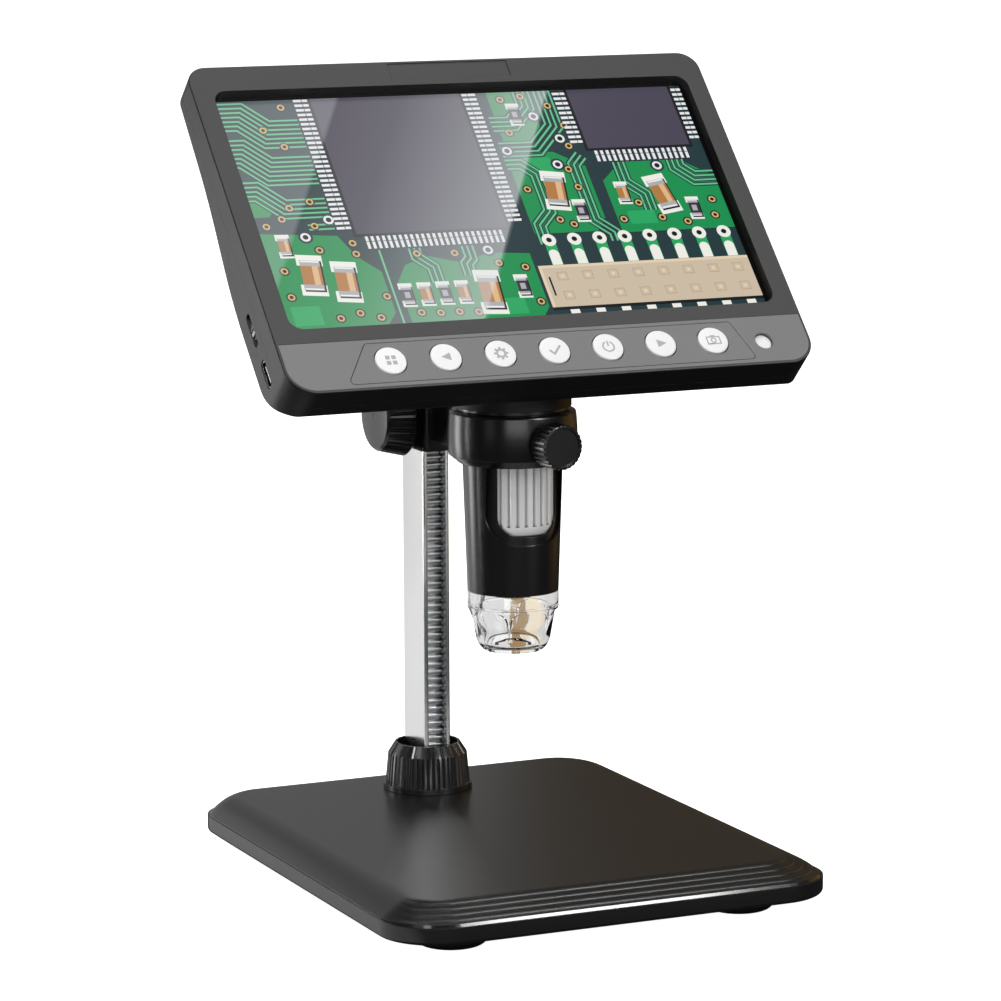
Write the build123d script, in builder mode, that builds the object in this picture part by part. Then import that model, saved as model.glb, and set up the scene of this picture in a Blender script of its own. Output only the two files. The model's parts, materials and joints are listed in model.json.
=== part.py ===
"""LCD digital microscope on a rack and pinion column stand.

Millimetres. +Z is up, +X is the user's right and +Y points away from the user.
The origin is the centre of the base, on the surface that the stand rests on.

The screen housing is drawn in its own face frame: local X runs across the screen, local Y runs
up the slope of the face from its lower front edge, and local Z points out of the screen, so the
plane at depth d behind the face is FACE.offset(-d).
"""

import os
from math import acos, asin, cos, degrees, hypot, pi, radians, sin, tan

from build123d import *

os.makedirs("parts", exist_ok=True)

# ---------------------------------------------------------------- fits and clearances
rest_gap = 0.1  # faces that rest on each other across a joint
running_gap = 0.05  # radial clearance of a shaft or screw that turns
sliding_gap = 0.1  # each side of a piece that slides or drops in
press_gap = 0.02  # radial, between pieces pressed or screwed together
free_gap = 0.3  # between pieces that only pass each other

# ---------------------------------------------------------------- base
base_width = 141.3
base_depth = 170.5
base_corner = 18.0
foot_height = 5.3
foot_radius = 11.0
foot_edge_round = 3.0
foot_side_inset = 24.15
foot_end_inset = 21.75
rim_height = 5.1
rim_wall = 2.5
rim_round = 1.2
tray_floor = 2.2
ballast_thickness = 2.6
ballast_gap = 1.0
crown_height = 4.9
crown_side_slope = 11.5
crown_back_slope = 6.0
crown_front_slope = 0.8
crown_wall = 2.5
seam_inset = 0.6
ridge_count = 5
ridge_pitch = 2.75
ridge_side_creep = 0.9
ridge_corner_creep = 1.6
pocket_side_inset = 7.4
pocket_front_inset = 14.0
pocket_corner = 12.0
base_boss_radius = 4.0
base_boss_side_inset = 16.65
base_boss_end_inset = 48.75
base_boss_floor = 1.4
base_screw_radius = 1.5
base_screw_head_radius = 2.8
base_screw_head_height = 1.6
base_screw_length = 6.2

# ---------------------------------------------------------------- column and its foot
column_width = 8.85
column_thickness = 16.4
column_setback = 25.45  # from the back of the base to the column's axis
column_top = 166.0
column_round = 0.5
channel_width = 6.2
rack_recess = 2.6
rack_back = 2.4
rack_side_gap = 0.1
core_width = 5.6
core_length = 6.2
core_back_wall = 1.3
column_cap_height = 1.8
column_cap_spigot = 6.0
column_cap_round = 0.6
socket_radius = 10.8
socket_height = 9.2
socket_flange_radius = 17.0
socket_screw_radius = 1.2
socket_screw_circle = 14.1
socket_screw_head_radius = 2.2
socket_screw_head_height = 1.4
socket_screw_length = 3.1
column_bolt_radius = 1.9
column_bolt_head_radius = 3.4
column_bolt_head_height = 1.6
column_bolt_length = 8.5
column_plug_height = 9.0
collar_bottom_radius = 14.0
collar_lip_height = 1.7
collar_grip_radius = 13.4
collar_shoulder_radius = 12.5
collar_shoulder_height = 11.3
collar_top_radius = 10.3
collar_height = 14.7
collar_rib_count = 48
collar_rib_width = 0.9
collar_rib_depth = 0.5
collar_notch_count = 24
collar_notch_width = 1.1
collar_notch_depth = 0.5

# ---------------------------------------------------------------- rack and pinion
gear_module = 0.75
pinion_teeth = 18
pressure_angle = 20.0
gear_backlash = 0.14
pinion_width = 5.4
pinion_z = 137.0
shaft_radius = 3.0

# ---------------------------------------------------------------- carriage
block_width = 20.0
block_height = 22.3
block_bottom = 126.2
block_front_wall = 2.4
block_round = 2.0
plate_thickness = 3.2
plate_round = 1.0
plate_screw_radius = 1.1
plate_screw_head_radius = 1.9
plate_screw_head_height = 1.2
plate_screw_length = 9.0
plate_screw_inset = 3.4
liner_thickness = 1.2
liner_margin = 1.0
arm_width = 15.0
arm_rise = 1.0
ring_radius = 19.15
ring_bottom_radius = 16.2
ring_top = 144.8
ring_height = 15.8
ring_chamfer_height = 2.4
ring_top_round = 1.0
ring_belly = 0.35

# ---------------------------------------------------------------- knobs
knob_inner_x = 10.9
knob_heel_x = 13.6
knob_rim_x = 21.3
knob_face_x = 22.2
knob_heel_radius = 10.8
knob_grip_radius = 12.9
knob_rim_radius = 11.0
knob_face_radius = 10.2
knob_face_dome = 0.5
knob_rib_count = 40
knob_rib_width = 1.1
knob_rib_depth = 0.55
knob_socket_depth = 9.0
grub_radius = 1.25
grub_length = 6.0
washer_radius = 5.0
washer_gap = 0.2
clamp_angle = 7.5  # degrees to the right of straight ahead
clamp_z = 136.5
clamp_radius = 6.75
clamp_start = 19.8  # from the head's axis
clamp_end = 28.2
clamp_neck_radius = 4.6
clamp_neck_length = 1.1
clamp_edge_round = 0.5
clamp_dish_depth = 0.5
clamp_dish_radius = 5.7
clamp_rib_count = 26
clamp_rib_width = 0.95
clamp_rib_depth = 0.5
clamp_screw_radius = 2.0
clamp_screw_socket = 5.0

# ---------------------------------------------------------------- head: barrel and optics
arm_reach = 65.5  # from the column's axis to the head's
sleeve_radius = 15.05
flange_radius = 16.7
flange_height = 3.4
barrel_top = 156.0
barrel_bottom = 90.0
barrel_end_radius = 13.75
barrel_lower_bore = 12.3
board_ledge_z = 146.0
board_ledge = 0.6
board_gap = 0.15
wheel_radius = 12.9
wheel_bottom = 107.6
wheel_height = 25.0
wheel_nose_height = 3.2
wheel_nose_radius = 11.0
wheel_rib_count = 30
wheel_rib_width = 1.5
wheel_rib_depth = 0.6
spacer_wall = 1.2
guide_bottom = 96.2
window_half_width = 9.4
window_bottom = 107.9
window_top = 134.2
window_corner = 6.0
window_rim_width = 3.0
window_rim_drop = 2.6
window_rim_corner = 9.0
window_rim_skin = 0.5
lens_cell_radius = 10.14
lens_tube_radius = 6.6
lens_tube_bottom = 88.5
lens_cell_bottom = 101.8
lens_cell_top = 113.0
key_width = 2.0
key_reach = 0.8
key_height = 1.5
front_lens_radius = 5.4
rear_lens_radius = 6.9
lens_ledge = 0.8
lens_seat_height = 1.6
lens_edge = 1.6
lens_bulge = 0.6
camera_board_thickness = 1.6
sensor_size = 8.0
sensor_thickness = 1.5
led_board_thickness = 1.6
led_board_bore = 7.8
led_count = 8
led_size = 2.2
led_height = 0.9
led_circle = 9.3
barrel_screw_radius = 1.1
barrel_screw_z = 152.2
barrel_screw_spread = 35.0  # degrees each side of straight back
barrel_screw_bite = 1.3

# ---------------------------------------------------------------- clear tip
tip_height = 18.2
tip_ring_radius = 13.75
tip_ring_height = 4.0
tip_groove_radius = 13.2
tip_groove_height = 0.7
tip_shoulder_radius = 13.8
tip_waist_height = 9.0
tip_waist_radius = 12.9
tip_nose_height = 3.0
tip_nose_radius = 11.0
tip_end_radius = 8.9
tip_opening_radius = 6.9
tip_wall = 1.6
tip_spigot_height = 4.5
tip_spigot_wall = 1.3
flute_count = 6
flute_width = 11.6
flute_height = 9.8
flute_corner = 2.6
flute_depth = 0.9  # at the top; the floor fades out into the nose
flute_fade = 0.1

# ---------------------------------------------------------------- screen housing
face_tilt = 43.61  # degrees that the face leans back from upright
face_reach = 35.46  # from the head's axis to the housing's lower front edge
face_edge_z = 158.54
top_corner = 6.5
bottom_corner = 9.0
bezel_depth = 7.2
bezel_front_wall = 3.4
bezel_side_wall = 1.9
bezel_edge_round = 0.5
opening_bottom = 22.75
frame_top = 9.45  # from the opening to the top edge
opening_corner = 4.2
nameplate_width = 39.6
nameplate_height = 6.0
nameplate_top_margin = 1.0
nameplate_depth = 0.3
strip_top = 17.6
strip_margin = 0.9
strip_thickness = 0.8
strip_seam = 0.1
panel_top = 16.2
panel_bottom = 2.3
panel_left_top = -57.8
panel_left_bottom = -66.6
panel_right_top = 60.0
panel_right_bottom = 64.7
panel_corner = 1.2
panel_seam = 0.2

# depth of the rear outline at heights up the face, with a round at each of its corners
rear_bottom_depth = 11.8
rear_deep_depth = 18.7
rear_deep_start = 13.0
rear_deep_end = 46.5
rear_thin_start = 82.0
rear_thin_depth = 12.4
rear_top_depth = 10.2
rear_foot_round = 12.0
rear_fall_round = 130.0
rear_thin_round = 200.0
rear_rim_round = 2.5
rear_wall = 2.0
neck_radius = 17.75
neck_bottom = 146.0

# ---------------------------------------------------------------- controls
button_count = 7
button_pitch = 17.33
button_row_x = 0.4
button_row_height = 9.65
button_radius = 4.75
button_hole_gap = 0.32
button_proud = 0.5
button_round = 0.4
button_flange_radius = 5.8
button_flange_thickness = 0.8
button_flange_gap = 0.2
button_stem_radius = 1.1
button_stem_length = 0.8
button_travel = 0.5
button_stop_gap = 0.1
button_board_margin = 0.8
button_board_bottom = 3.4
button_board_top = 17.0
button_board_thickness = 1.6
button_post_radius = 2.0
switch_size = 6.0
switch_height = 2.0
switch_plunger_radius = 1.6
switch_plunger_height = 0.8
indicator_side_inset = 15.7
indicator_height = 8.6
indicator_radius = 2.75
indicator_gap = 0.15
indicator_recess = 1.1
indicator_flange_radius = 3.7
indicator_flange_thickness = 0.9
indicator_led_size = 2.0

# ---------------------------------------------------------------- inside the housing
lcd_width = 164.0
lcd_height = 95.0
lcd_side_gap = 1.0
lcd_side_lap = 3.5  # of the bezel over the panel's border
lcd_end_lap = 3.05
lcd_glass_thickness = 1.4
backlight_thickness = 2.6
backlight_inset = 0.6
board_depth = 13.3
board_thickness = 1.6
board_side_gap = 3.9
board_bottom = 13.0
board_top = 38.0
board_post_radius = 2.5
board_post_x = 58.0
board_post_inset = 3.5
battery_width = 120.0
battery_bottom = 42.0
battery_top = 62.5
battery_thickness = 5.0
battery_gap = 0.3
battery_round = 1.5
chip_count = 5
chip_size = 11.0
chip_thickness = 1.2
chip_pitch = 21.0
usb_height = 16.0
usb_width = 8.9
usb_thickness = 3.2
usb_length = 7.3
usb_skin = 0.3
usb_tongue_thickness = 0.7
usb_clearance = 0.25
card_height = 26.0
card_width = 14.5
card_thickness = 1.8
card_length = 14.0
card_slot_width = 12.0
card_slot_height = 1.2
card_slot_depth = 12.0
dimmer_height = 31.7
dimmer_depth = 10.5
dimmer_thickness = 2.4
dimmer_radius = 7.5
dimmer_slot_length = 11.4
dimmer_rib_count = 24
dimmer_rib_width = 0.8
dimmer_rib_depth = 0.35
dimmer_post_radius = 1.5
case_screw_radius = 1.0
case_screw_head_radius = 1.9
case_screw_head_height = 1.2
case_screw_length = 4.2
case_screw_seat_depth = 8.8
case_screw_head_gap = 0.3
case_boss_wall = 1.2
case_boss_radius = 2.1
case_screw_top_x = 60.0
case_screw_top_inset = 3.2
case_screw_low_inset = 9.4
case_screw_low_height = 7.0
flex_width = 10.0
flex_thickness = 0.3

# ---------------------------------------------------------------- places that follow from the sizes
foot_x = base_width / 2 - foot_side_inset
foot_y = base_depth / 2 - foot_end_inset
base_boss_x = base_width / 2 - base_boss_side_inset
base_boss_y = base_depth / 2 - base_boss_end_inset
tray_z = foot_height
ballast_z = tray_z + tray_floor
flange_z = ballast_z + ballast_thickness
seam_z = tray_z + rim_height
stage_z = seam_z + crown_height
cover_inside_z = stage_z - crown_wall
ridge_step = crown_height / ridge_count
socket_top = stage_z + socket_height
base_screw_seat = ballast_z
base_boss_z = base_screw_seat + base_boss_floor

column_y = base_depth / 2 - column_setback
head_y = column_y - arm_reach
face_edge_y = head_y - face_reach
column_front = column_y - column_thickness / 2
column_back = column_y + column_thickness / 2
core_y = column_back - core_back_wall - core_length / 2

collar_z = stage_z + rest_gap
collar_shoulder_z = collar_z + collar_shoulder_height
collar_top_z = collar_z + collar_height
collar_roof_z = socket_top + free_gap
collar_bore = socket_radius + running_gap
collar_hole = hypot(column_width, column_thickness) / 2 + free_gap

tooth_depth = 2.25 * gear_module
tooth_pitch = pi * gear_module
rack_tip_y = column_front + rack_recess
rack_pitch_y = rack_tip_y + gear_module
rack_root_y = rack_tip_y + tooth_depth
channel_floor_y = rack_root_y + rack_back
rack_bottom = flange_z + column_plug_height
rack_width = channel_width - 2 * rack_side_gap
pinion_pitch_radius = gear_module * pinion_teeth / 2
pinion_base_radius = pinion_pitch_radius * cos(radians(pressure_angle))
pinion_tip_radius = pinion_pitch_radius + gear_module
pinion_root_radius = pinion_pitch_radius - 1.25 * gear_module
pinion_y = rack_pitch_y - pinion_pitch_radius

block_front = pinion_y - pinion_tip_radius - free_gap - block_front_wall
block_back = column_back + sliding_gap
block_top = block_bottom + block_height
sleeve_half = column_width / 2 + sliding_gap + liner_thickness
plate_face_y = block_back + plate_thickness
plate_screw_x = (block_width / 2 + sleeve_half) / 2
ring_bottom = ring_top - ring_height
ring_shoulder_z = ring_bottom + ring_chamfer_height
ring_rim_z = ring_top - ring_top_round
arm_bottom = ring_bottom + arm_rise
ring_bore = sleeve_radius + running_gap
head_rest_z = ring_top + rest_gap
flange_top = head_rest_z + flange_height
shaft_half = knob_inner_x + knob_socket_depth
grub_x = (knob_inner_x + knob_heel_x) / 2
knob_dome_radius = (knob_face_radius**2 + knob_face_dome**2) / (2 * knob_face_dome)
clamp_body_start = clamp_start + clamp_neck_length
clamp_dish_end = clamp_end - clamp_dish_depth

wheel_cavity = wheel_radius + running_gap
wheel_bore = lens_cell_radius + running_gap
wheel_top = wheel_bottom + wheel_height
wheel_nose_z = wheel_bottom + wheel_nose_height
guide_bore = lens_cell_radius + sliding_gap
guide_top = wheel_bottom - rest_gap
ledge_bore = wheel_cavity + board_ledge
front_lens_z = lens_tube_bottom + lens_seat_height
rear_lens_z = lens_cell_bottom + lens_seat_height
led_board_z = guide_bottom - led_board_thickness
barrel_screw_length = neck_radius - sleeve_radius + barrel_screw_bite
neck_bore = sleeve_radius + sliding_gap

tip_top = barrel_bottom
tip_bottom = tip_top - tip_height
tip_ring_z = tip_top - tip_ring_height
tip_groove_z = tip_ring_z - tip_groove_height
tip_spigot_radius = barrel_lower_bore - running_gap

opening_width = lcd_width - 2 * lcd_side_lap
opening_height = lcd_height - 2 * lcd_end_lap
housing_width = lcd_width + 2 * (lcd_side_gap + bezel_side_wall)
housing_height = opening_bottom + opening_height + frame_top
half_width = housing_width / 2
board_width = housing_width - 2 * (rear_wall + board_side_gap)
indicator_x = half_width - indicator_side_inset
button_board_width = 2 * (indicator_x + indicator_led_size / 2 + button_board_margin)
case_screw_top_height = housing_height - case_screw_top_inset
case_screw_low_x = half_width - case_screw_low_inset
opening_middle = opening_bottom + opening_height / 2
lcd_depth = bezel_front_wall
backlight_depth = lcd_depth + lcd_glass_thickness
battery_depth = backlight_depth + backlight_thickness + battery_gap
button_hole_radius = button_radius + button_hole_gap
button_flange_depth = bezel_front_wall + button_flange_gap
button_stem_depth = button_flange_depth + button_flange_thickness + button_stem_length
plunger_depth = button_stem_depth + button_travel + button_stop_gap
button_board_depth = plunger_depth + switch_plunger_height + switch_height
indicator_hole_radius = indicator_radius + indicator_gap
board_back = board_depth + board_thickness
usb_depth = board_depth - usb_thickness / 2
card_depth = board_depth - card_thickness / 2
dimmer_x = dimmer_radius + sliding_gap - half_width
case_head_hole = case_screw_head_radius + case_screw_head_gap

# ---------------------------------------------------------------- planes and axes
FACE = Plane(
    origin=(0, face_edge_y, face_edge_z),
    x_dir=(1, 0, 0),
    z_dir=(0, -cos(radians(face_tilt)), sin(radians(face_tilt))),
)
FACE_OUT = Axis(FACE.origin, FACE.z_dir)
# a slice through the housing: local X runs up the face and local Y is the depth behind it
SLICE = Plane(origin=FACE.origin, x_dir=FACE.y_dir, z_dir=(-1, 0, 0))
# planes through turning axes, for profiles to revolve
HEAD_SECTION = Plane(origin=(0, head_y, 0), x_dir=(1, 0, 0), z_dir=(0, -1, 0))
COLUMN_SECTION = Plane(origin=(0, column_y, 0), x_dir=(1, 0, 0), z_dir=(0, -1, 0))
SHAFT_SECTION = Plane(origin=(0, pinion_y, pinion_z), x_dir=(1, 0, 0), z_dir=(0, -1, 0))
CLAMP_OUT = Vector(sin(radians(clamp_angle)), -cos(radians(clamp_angle)), 0)
CLAMP_SECTION = Plane(
    origin=(0, head_y, clamp_z), x_dir=CLAMP_OUT, z_dir=CLAMP_OUT.cross(Vector(0, 0, 1))
)
HEAD_AXIS = Axis((0, head_y, 0), (0, 0, 1))
COLUMN_AXIS = Axis((0, column_y, 0), (0, 0, 1))
SHAFT_AXIS = Axis((0, pinion_y, pinion_z), (1, 0, 0))
CLAMP_AXIS = Axis((0, head_y, clamp_z), CLAMP_OUT)
# planes across those axes
HEAD_FLOOR = Plane(origin=(0, head_y, 0), x_dir=(1, 0, 0), z_dir=(0, 0, 1))
COLUMN_FLOOR = Plane(origin=(0, column_y, 0), x_dir=(1, 0, 0), z_dir=(0, 0, 1))
SHAFT_CROSS = Plane(origin=(0, pinion_y, pinion_z), x_dir=(0, 1, 0), z_dir=(1, 0, 0))
CLAMP_CROSS = Plane(origin=(0, head_y, clamp_z), x_dir=(0, 0, 1), z_dir=CLAMP_OUT)
RACK_SIDE = Plane(origin=(0, 0, 0), x_dir=(0, 1, 0), z_dir=(1, 0, 0))


# ---------------------------------------------------------------- helpers
def screws_up(points, seat_z):
    """Places of screws driven upwards at (x, y) points, with their heads under seat_z."""
    return [Plane(origin=(x, y, seat_z), x_dir=(1, 0, 0), z_dir=(0, 0, -1)) for x, y in points]


def add_screws(spots, head_radius, head_height, shank_radius, shank_length):
    """Screws in the open part. A spot's Z points out of the head, from the face under it."""
    with Locations(*spots):
        Cylinder(head_radius, head_height, align=(Align.CENTER, Align.CENTER, Align.MIN))
        Cylinder(shank_radius, shank_length, align=(Align.CENTER, Align.CENTER, Align.MAX))


def cut_shanks(spots, radius, length):
    """Round holes in the open part, running in from each spot along its screw's shank."""
    with Locations(*spots):
        Cylinder(
            radius,
            length,
            align=(Align.CENTER, Align.CENTER, Align.MAX),
            mode=Mode.SUBTRACT,
        )


def cut_heads(spots, radius, length):
    """Round holes in the open part, running out from each spot over its screw's head."""
    with Locations(*spots):
        Cylinder(
            radius,
            length,
            align=(Align.CENTER, Align.CENTER, Align.MIN),
            mode=Mode.SUBTRACT,
        )


def groove_cutter(radius_start, radius_end, start, length, width, depth):
    """One V groove of a grip, along local Z on the +X side of a cone or cylinder."""
    with BuildPart() as cutter:
        for radius, height in ((radius_start, start), (radius_end, start + length)):
            with BuildSketch(Plane.XY.offset(height)):
                Polygon(
                    (radius - depth, 0),
                    (radius + depth, -width),
                    (radius + depth, width),
                    align=None,
                )
        loft(ruled=True)
    return cutter.part


def cut_grooves(cutter, count, across):
    """Cut evenly spaced grooves in the open part, about the normal of the plane across."""
    with Locations(across):
        with PolarLocations(0, count):
            add(cutter, mode=Mode.SUBTRACT)


def base_shape(side, front, back, radius):
    """Rounded base outline, inset from the rim by an amount at the sides, the front and the back."""
    with Locations((0, (front - back) / 2)):
        RectangleRounded(base_width - 2 * side, base_depth - front - back, radius)


def housing_outline(inset):
    """The housing's front outline in the open line, drawn in by a wall."""
    half = half_width - inset
    low, high = inset, housing_height - inset
    bottom, top = bottom_corner - inset, top_corner - inset
    FilletPolyline(
        (-half, low),
        (half, low),
        (half, high),
        (-half, high),
        radius=[bottom, bottom, top, top],
        close=True,
    )


def housing_form(inset):
    """The rear half of the housing as a solid, or its hollow when drawn in by the wall."""
    front = bezel_depth - 2 * inset
    with BuildPart() as form:
        with BuildSketch(SLICE):
            with BuildLine():
                FilletPolyline(
                    (0, front),
                    (0, rear_bottom_depth),
                    (rear_deep_start, rear_deep_depth),
                    (rear_deep_end, rear_deep_depth),
                    (rear_thin_start, rear_thin_depth),
                    (housing_height, rear_top_depth),
                    (housing_height, front),
                    radius=[
                        0,
                        rear_rim_round,
                        rear_foot_round,
                        rear_fall_round,
                        rear_thin_round,
                        rear_rim_round,
                        0,
                    ],
                    close=True,
                )
            make_face()
            if inset:
                offset(amount=-inset, kind=Kind.INTERSECTION)
        extrude(amount=half_width - inset, both=True)
        with BuildSketch(FACE.offset(-rear_deep_depth)):
            with BuildLine():
                housing_outline(inset)
            make_face()
        extrude(amount=rear_deep_depth, mode=Mode.INTERSECT)
    return form.part


def behind(depth):
    """A block that fills the space around the head deeper than a depth behind the face."""
    with BuildPart() as block:
        with BuildSketch(FACE.offset(-depth)):
            Rectangle(2 * housing_width, 4 * housing_height)
        extrude(amount=-housing_height)
    return block.part


# ---------------------------------------------------------------- base
base_screw_spots = screws_up(
    [(x, y) for x in (-base_boss_x, base_boss_x) for y in (-base_boss_y, base_boss_y)],
    base_screw_seat,
)
socket_screw_spots = screws_up(
    [
        (
            socket_screw_circle * cos(radians(angle)),
            column_y + socket_screw_circle * sin(radians(angle)),
        )
        for angle in (45, 135, 225, 315)
    ],
    ballast_z + socket_screw_head_height,
)
column_bolt_spots = screws_up([(0, core_y)], ballast_z + column_bolt_head_height)

with BuildPart() as rubber_feet:
    with BuildSketch():
        with GridLocations(2 * foot_x, 2 * foot_y, 2, 2):
            Circle(foot_radius)
    extrude(amount=foot_height)
    fillet(rubber_feet.edges().group_by(Axis.Z)[0], foot_edge_round)

with BuildPart() as base_tray:
    with BuildSketch(Plane.XY.offset(tray_z)):
        base_shape(0, 0, 0, base_corner)
    extrude(amount=rim_height)
    fillet(base_tray.faces().sort_by(Axis.Z)[0].edges(), rim_round)
    with BuildSketch(Plane.XY.offset(ballast_z)):
        base_shape(rim_wall, rim_wall, rim_wall, base_corner - rim_wall)
    extrude(amount=rim_height, mode=Mode.SUBTRACT)
    with BuildSketch(Plane.XY.offset(ballast_z)):
        with GridLocations(2 * base_boss_x, 2 * base_boss_y, 2, 2):
            Circle(base_boss_radius)
    extrude(amount=base_boss_floor)
    cut_shanks(base_screw_spots, base_screw_radius + sliding_gap, rim_height)
    cut_heads(base_screw_spots, base_screw_head_radius + sliding_gap, rim_height)

with BuildPart() as base_screws:
    add_screws(
        base_screw_spots,
        base_screw_head_radius,
        base_screw_head_height,
        base_screw_radius,
        base_screw_length,
    )

ballast_inset = rim_wall + ballast_gap
with BuildPart() as ballast_plate:
    with BuildSketch(Plane.XY.offset(ballast_z)):
        base_shape(ballast_inset, ballast_inset, ballast_inset, base_corner - ballast_inset)
        with GridLocations(2 * base_boss_x, 2 * base_boss_y, 2, 2):
            Circle(base_boss_radius + free_gap, mode=Mode.SUBTRACT)
    extrude(amount=ballast_thickness)
    cut_shanks(socket_screw_spots, socket_screw_radius + sliding_gap, ballast_thickness)
    cut_heads(socket_screw_spots, socket_screw_head_radius + sliding_gap, ballast_thickness)
    cut_shanks(column_bolt_spots, column_bolt_radius + sliding_gap, ballast_thickness)
    cut_heads(column_bolt_spots, column_bolt_head_radius + sliding_gap, ballast_thickness)

# shallow terraces climb the front of the crown and run out along its sloping sides
with BuildPart() as terraces:
    for step in range(ridge_count):
        with BuildSketch(Plane.XY.offset(seam_z)):
            base_shape(
                seam_inset + step * ridge_side_creep,
                seam_inset + step * ridge_pitch,
                seam_inset,
                base_corner - seam_inset - step * ridge_corner_creep,
            )
        extrude(amount=(step + 1) * ridge_step)

with BuildPart() as base_cover:
    for rise in (0, 0.4, 0.7, 0.9, 1):
        with BuildSketch(Plane.XY.offset(seam_z + crown_height * rise)):
            base_shape(
                seam_inset + crown_side_slope * rise**2,
                seam_inset + crown_front_slope * rise**2,
                seam_inset + crown_back_slope * rise**2,
                base_corner - seam_inset - crown_side_slope * rise**2 / 2,
            )
    loft(ruled=True)
    add(terraces.part, mode=Mode.INTERSECT)
    with BuildSketch(Plane.XY.offset(seam_z)):
        base_shape(pocket_side_inset, pocket_front_inset, pocket_side_inset, pocket_corner)
    extrude(amount=cover_inside_z - seam_z, mode=Mode.SUBTRACT)
    with BuildSketch(Plane.XY.offset(base_boss_z)):
        with GridLocations(2 * base_boss_x, 2 * base_boss_y, 2, 2):
            Circle(base_boss_radius)
    extrude(amount=cover_inside_z - base_boss_z)
    cut_shanks(base_screw_spots, base_screw_radius + press_gap, base_screw_length + press_gap)
    with BuildSketch(COLUMN_FLOOR.offset(cover_inside_z)):
        Circle(socket_radius + sliding_gap)
    extrude(amount=2 * crown_wall, mode=Mode.SUBTRACT)

# ---------------------------------------------------------------- column foot, lock collar, column
with BuildPart() as column_socket:
    with BuildSketch(COLUMN_FLOOR.offset(flange_z)):
        Circle(socket_flange_radius)
    extrude(amount=cover_inside_z - flange_z)
    with BuildSketch(COLUMN_FLOOR.offset(cover_inside_z)):
        Circle(socket_radius)
    extrude(amount=socket_top - cover_inside_z)
    chamfer(column_socket.edges().group_by(Axis.Z)[-1], column_round)
    with BuildSketch(COLUMN_FLOOR.offset(flange_z)):
        Rectangle(column_width + 2 * sliding_gap, column_thickness + 2 * sliding_gap)
    extrude(amount=socket_top, mode=Mode.SUBTRACT)
    cut_shanks(socket_screw_spots, socket_screw_radius + press_gap, socket_screw_length + press_gap)

with BuildPart() as socket_screws:
    add_screws(
        socket_screw_spots,
        socket_screw_head_radius,
        socket_screw_head_height,
        socket_screw_radius,
        socket_screw_length,
    )

with BuildPart() as column_bolt:
    add_screws(
        column_bolt_spots,
        column_bolt_head_radius,
        column_bolt_head_height,
        column_bolt_radius,
        column_bolt_length,
    )

with BuildPart() as collar_nut:
    with BuildSketch(COLUMN_SECTION):
        with BuildLine():
            Polyline(
                (0, collar_z),
                (collar_bottom_radius, collar_z),
                (collar_bottom_radius, collar_z + collar_lip_height),
                (collar_grip_radius, collar_z + collar_lip_height),
                (collar_shoulder_radius, collar_shoulder_z),
                (collar_top_radius, collar_top_z),
                (0, collar_top_z),
                close=True,
            )
        make_face()
    revolve(axis=COLUMN_AXIS)
    with BuildSketch(COLUMN_FLOOR.offset(collar_z)):
        Circle(collar_bore)
    extrude(amount=collar_roof_z - collar_z, mode=Mode.SUBTRACT)
    with BuildSketch(COLUMN_FLOOR.offset(collar_z)):
        Circle(collar_hole)
    extrude(amount=collar_height, mode=Mode.SUBTRACT)
    cut_grooves(
        groove_cutter(
            collar_grip_radius,
            collar_shoulder_radius,
            collar_z + collar_lip_height,
            collar_shoulder_height - collar_lip_height,
            collar_rib_width,
            collar_rib_depth,
        ),
        collar_rib_count,
        COLUMN_FLOOR,
    )
    cut_grooves(
        groove_cutter(
            collar_shoulder_radius,
            collar_top_radius,
            collar_shoulder_z,
            collar_height - collar_shoulder_height,
            collar_notch_width,
            collar_notch_depth,
        ),
        collar_notch_count,
        COLUMN_FLOOR,
    )

with BuildPart() as column:
    with BuildSketch(Plane.XY.offset(flange_z)):
        with Locations((0, column_y)):
            RectangleRounded(column_width, column_thickness, column_round)
        with Locations((0, column_front)):
            Rectangle(channel_width, 2 * (channel_floor_y - column_front), mode=Mode.SUBTRACT)
    extrude(amount=column_top - flange_z)
    with BuildSketch(Plane.XY.offset(flange_z + column_plug_height)):
        with Locations((0, core_y)):
            Rectangle(core_width, core_length)
    extrude(amount=column_top, mode=Mode.SUBTRACT)
    cut_shanks(column_bolt_spots, column_bolt_radius + press_gap, column_bolt_length + press_gap)

with BuildPart() as column_cap:
    with BuildSketch(Plane.XY.offset(column_top)):
        with Locations((0, column_y)):
            RectangleRounded(column_width, column_thickness, column_round)
    extrude(amount=column_cap_height)
    fillet(column_cap.edges().group_by(Axis.Z)[-1], column_cap_round)
    with BuildSketch(Plane.XY.offset(column_top)):
        with Locations((0, core_y)):
            Rectangle(core_width - 2 * press_gap, core_length - 2 * press_gap)
    extrude(amount=-column_cap_spigot)

# ---------------------------------------------------------------- rack and pinion
tooth_slant = tan(radians(pressure_angle))
tooth_half = tooth_pitch / 4 - gear_backlash / 2
tooth_tip_half = tooth_half - gear_module * tooth_slant
tooth_root_half = tooth_half + (tooth_depth - gear_module) * tooth_slant
teeth_below = int((pinion_z - rack_bottom) / tooth_pitch)
first_tooth = pinion_z - tooth_pitch * (teeth_below - 0.5)
tooth_count = int((column_top - first_tooth) / tooth_pitch)

with BuildPart() as rack:
    with BuildSketch(RACK_SIDE):
        with Locations((rack_root_y, rack_bottom)):
            Rectangle(rack_back, column_top - rack_bottom, align=(Align.MIN, Align.MIN))
        with Locations(*[(rack_root_y, first_tooth + i * tooth_pitch) for i in range(tooth_count)]):
            Polygon(
                (0, -tooth_root_half),
                (0, tooth_root_half),
                (-tooth_depth, tooth_tip_half),
                (-tooth_depth, -tooth_tip_half),
                align=None,
            )
    extrude(amount=rack_width / 2, both=True)


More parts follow.
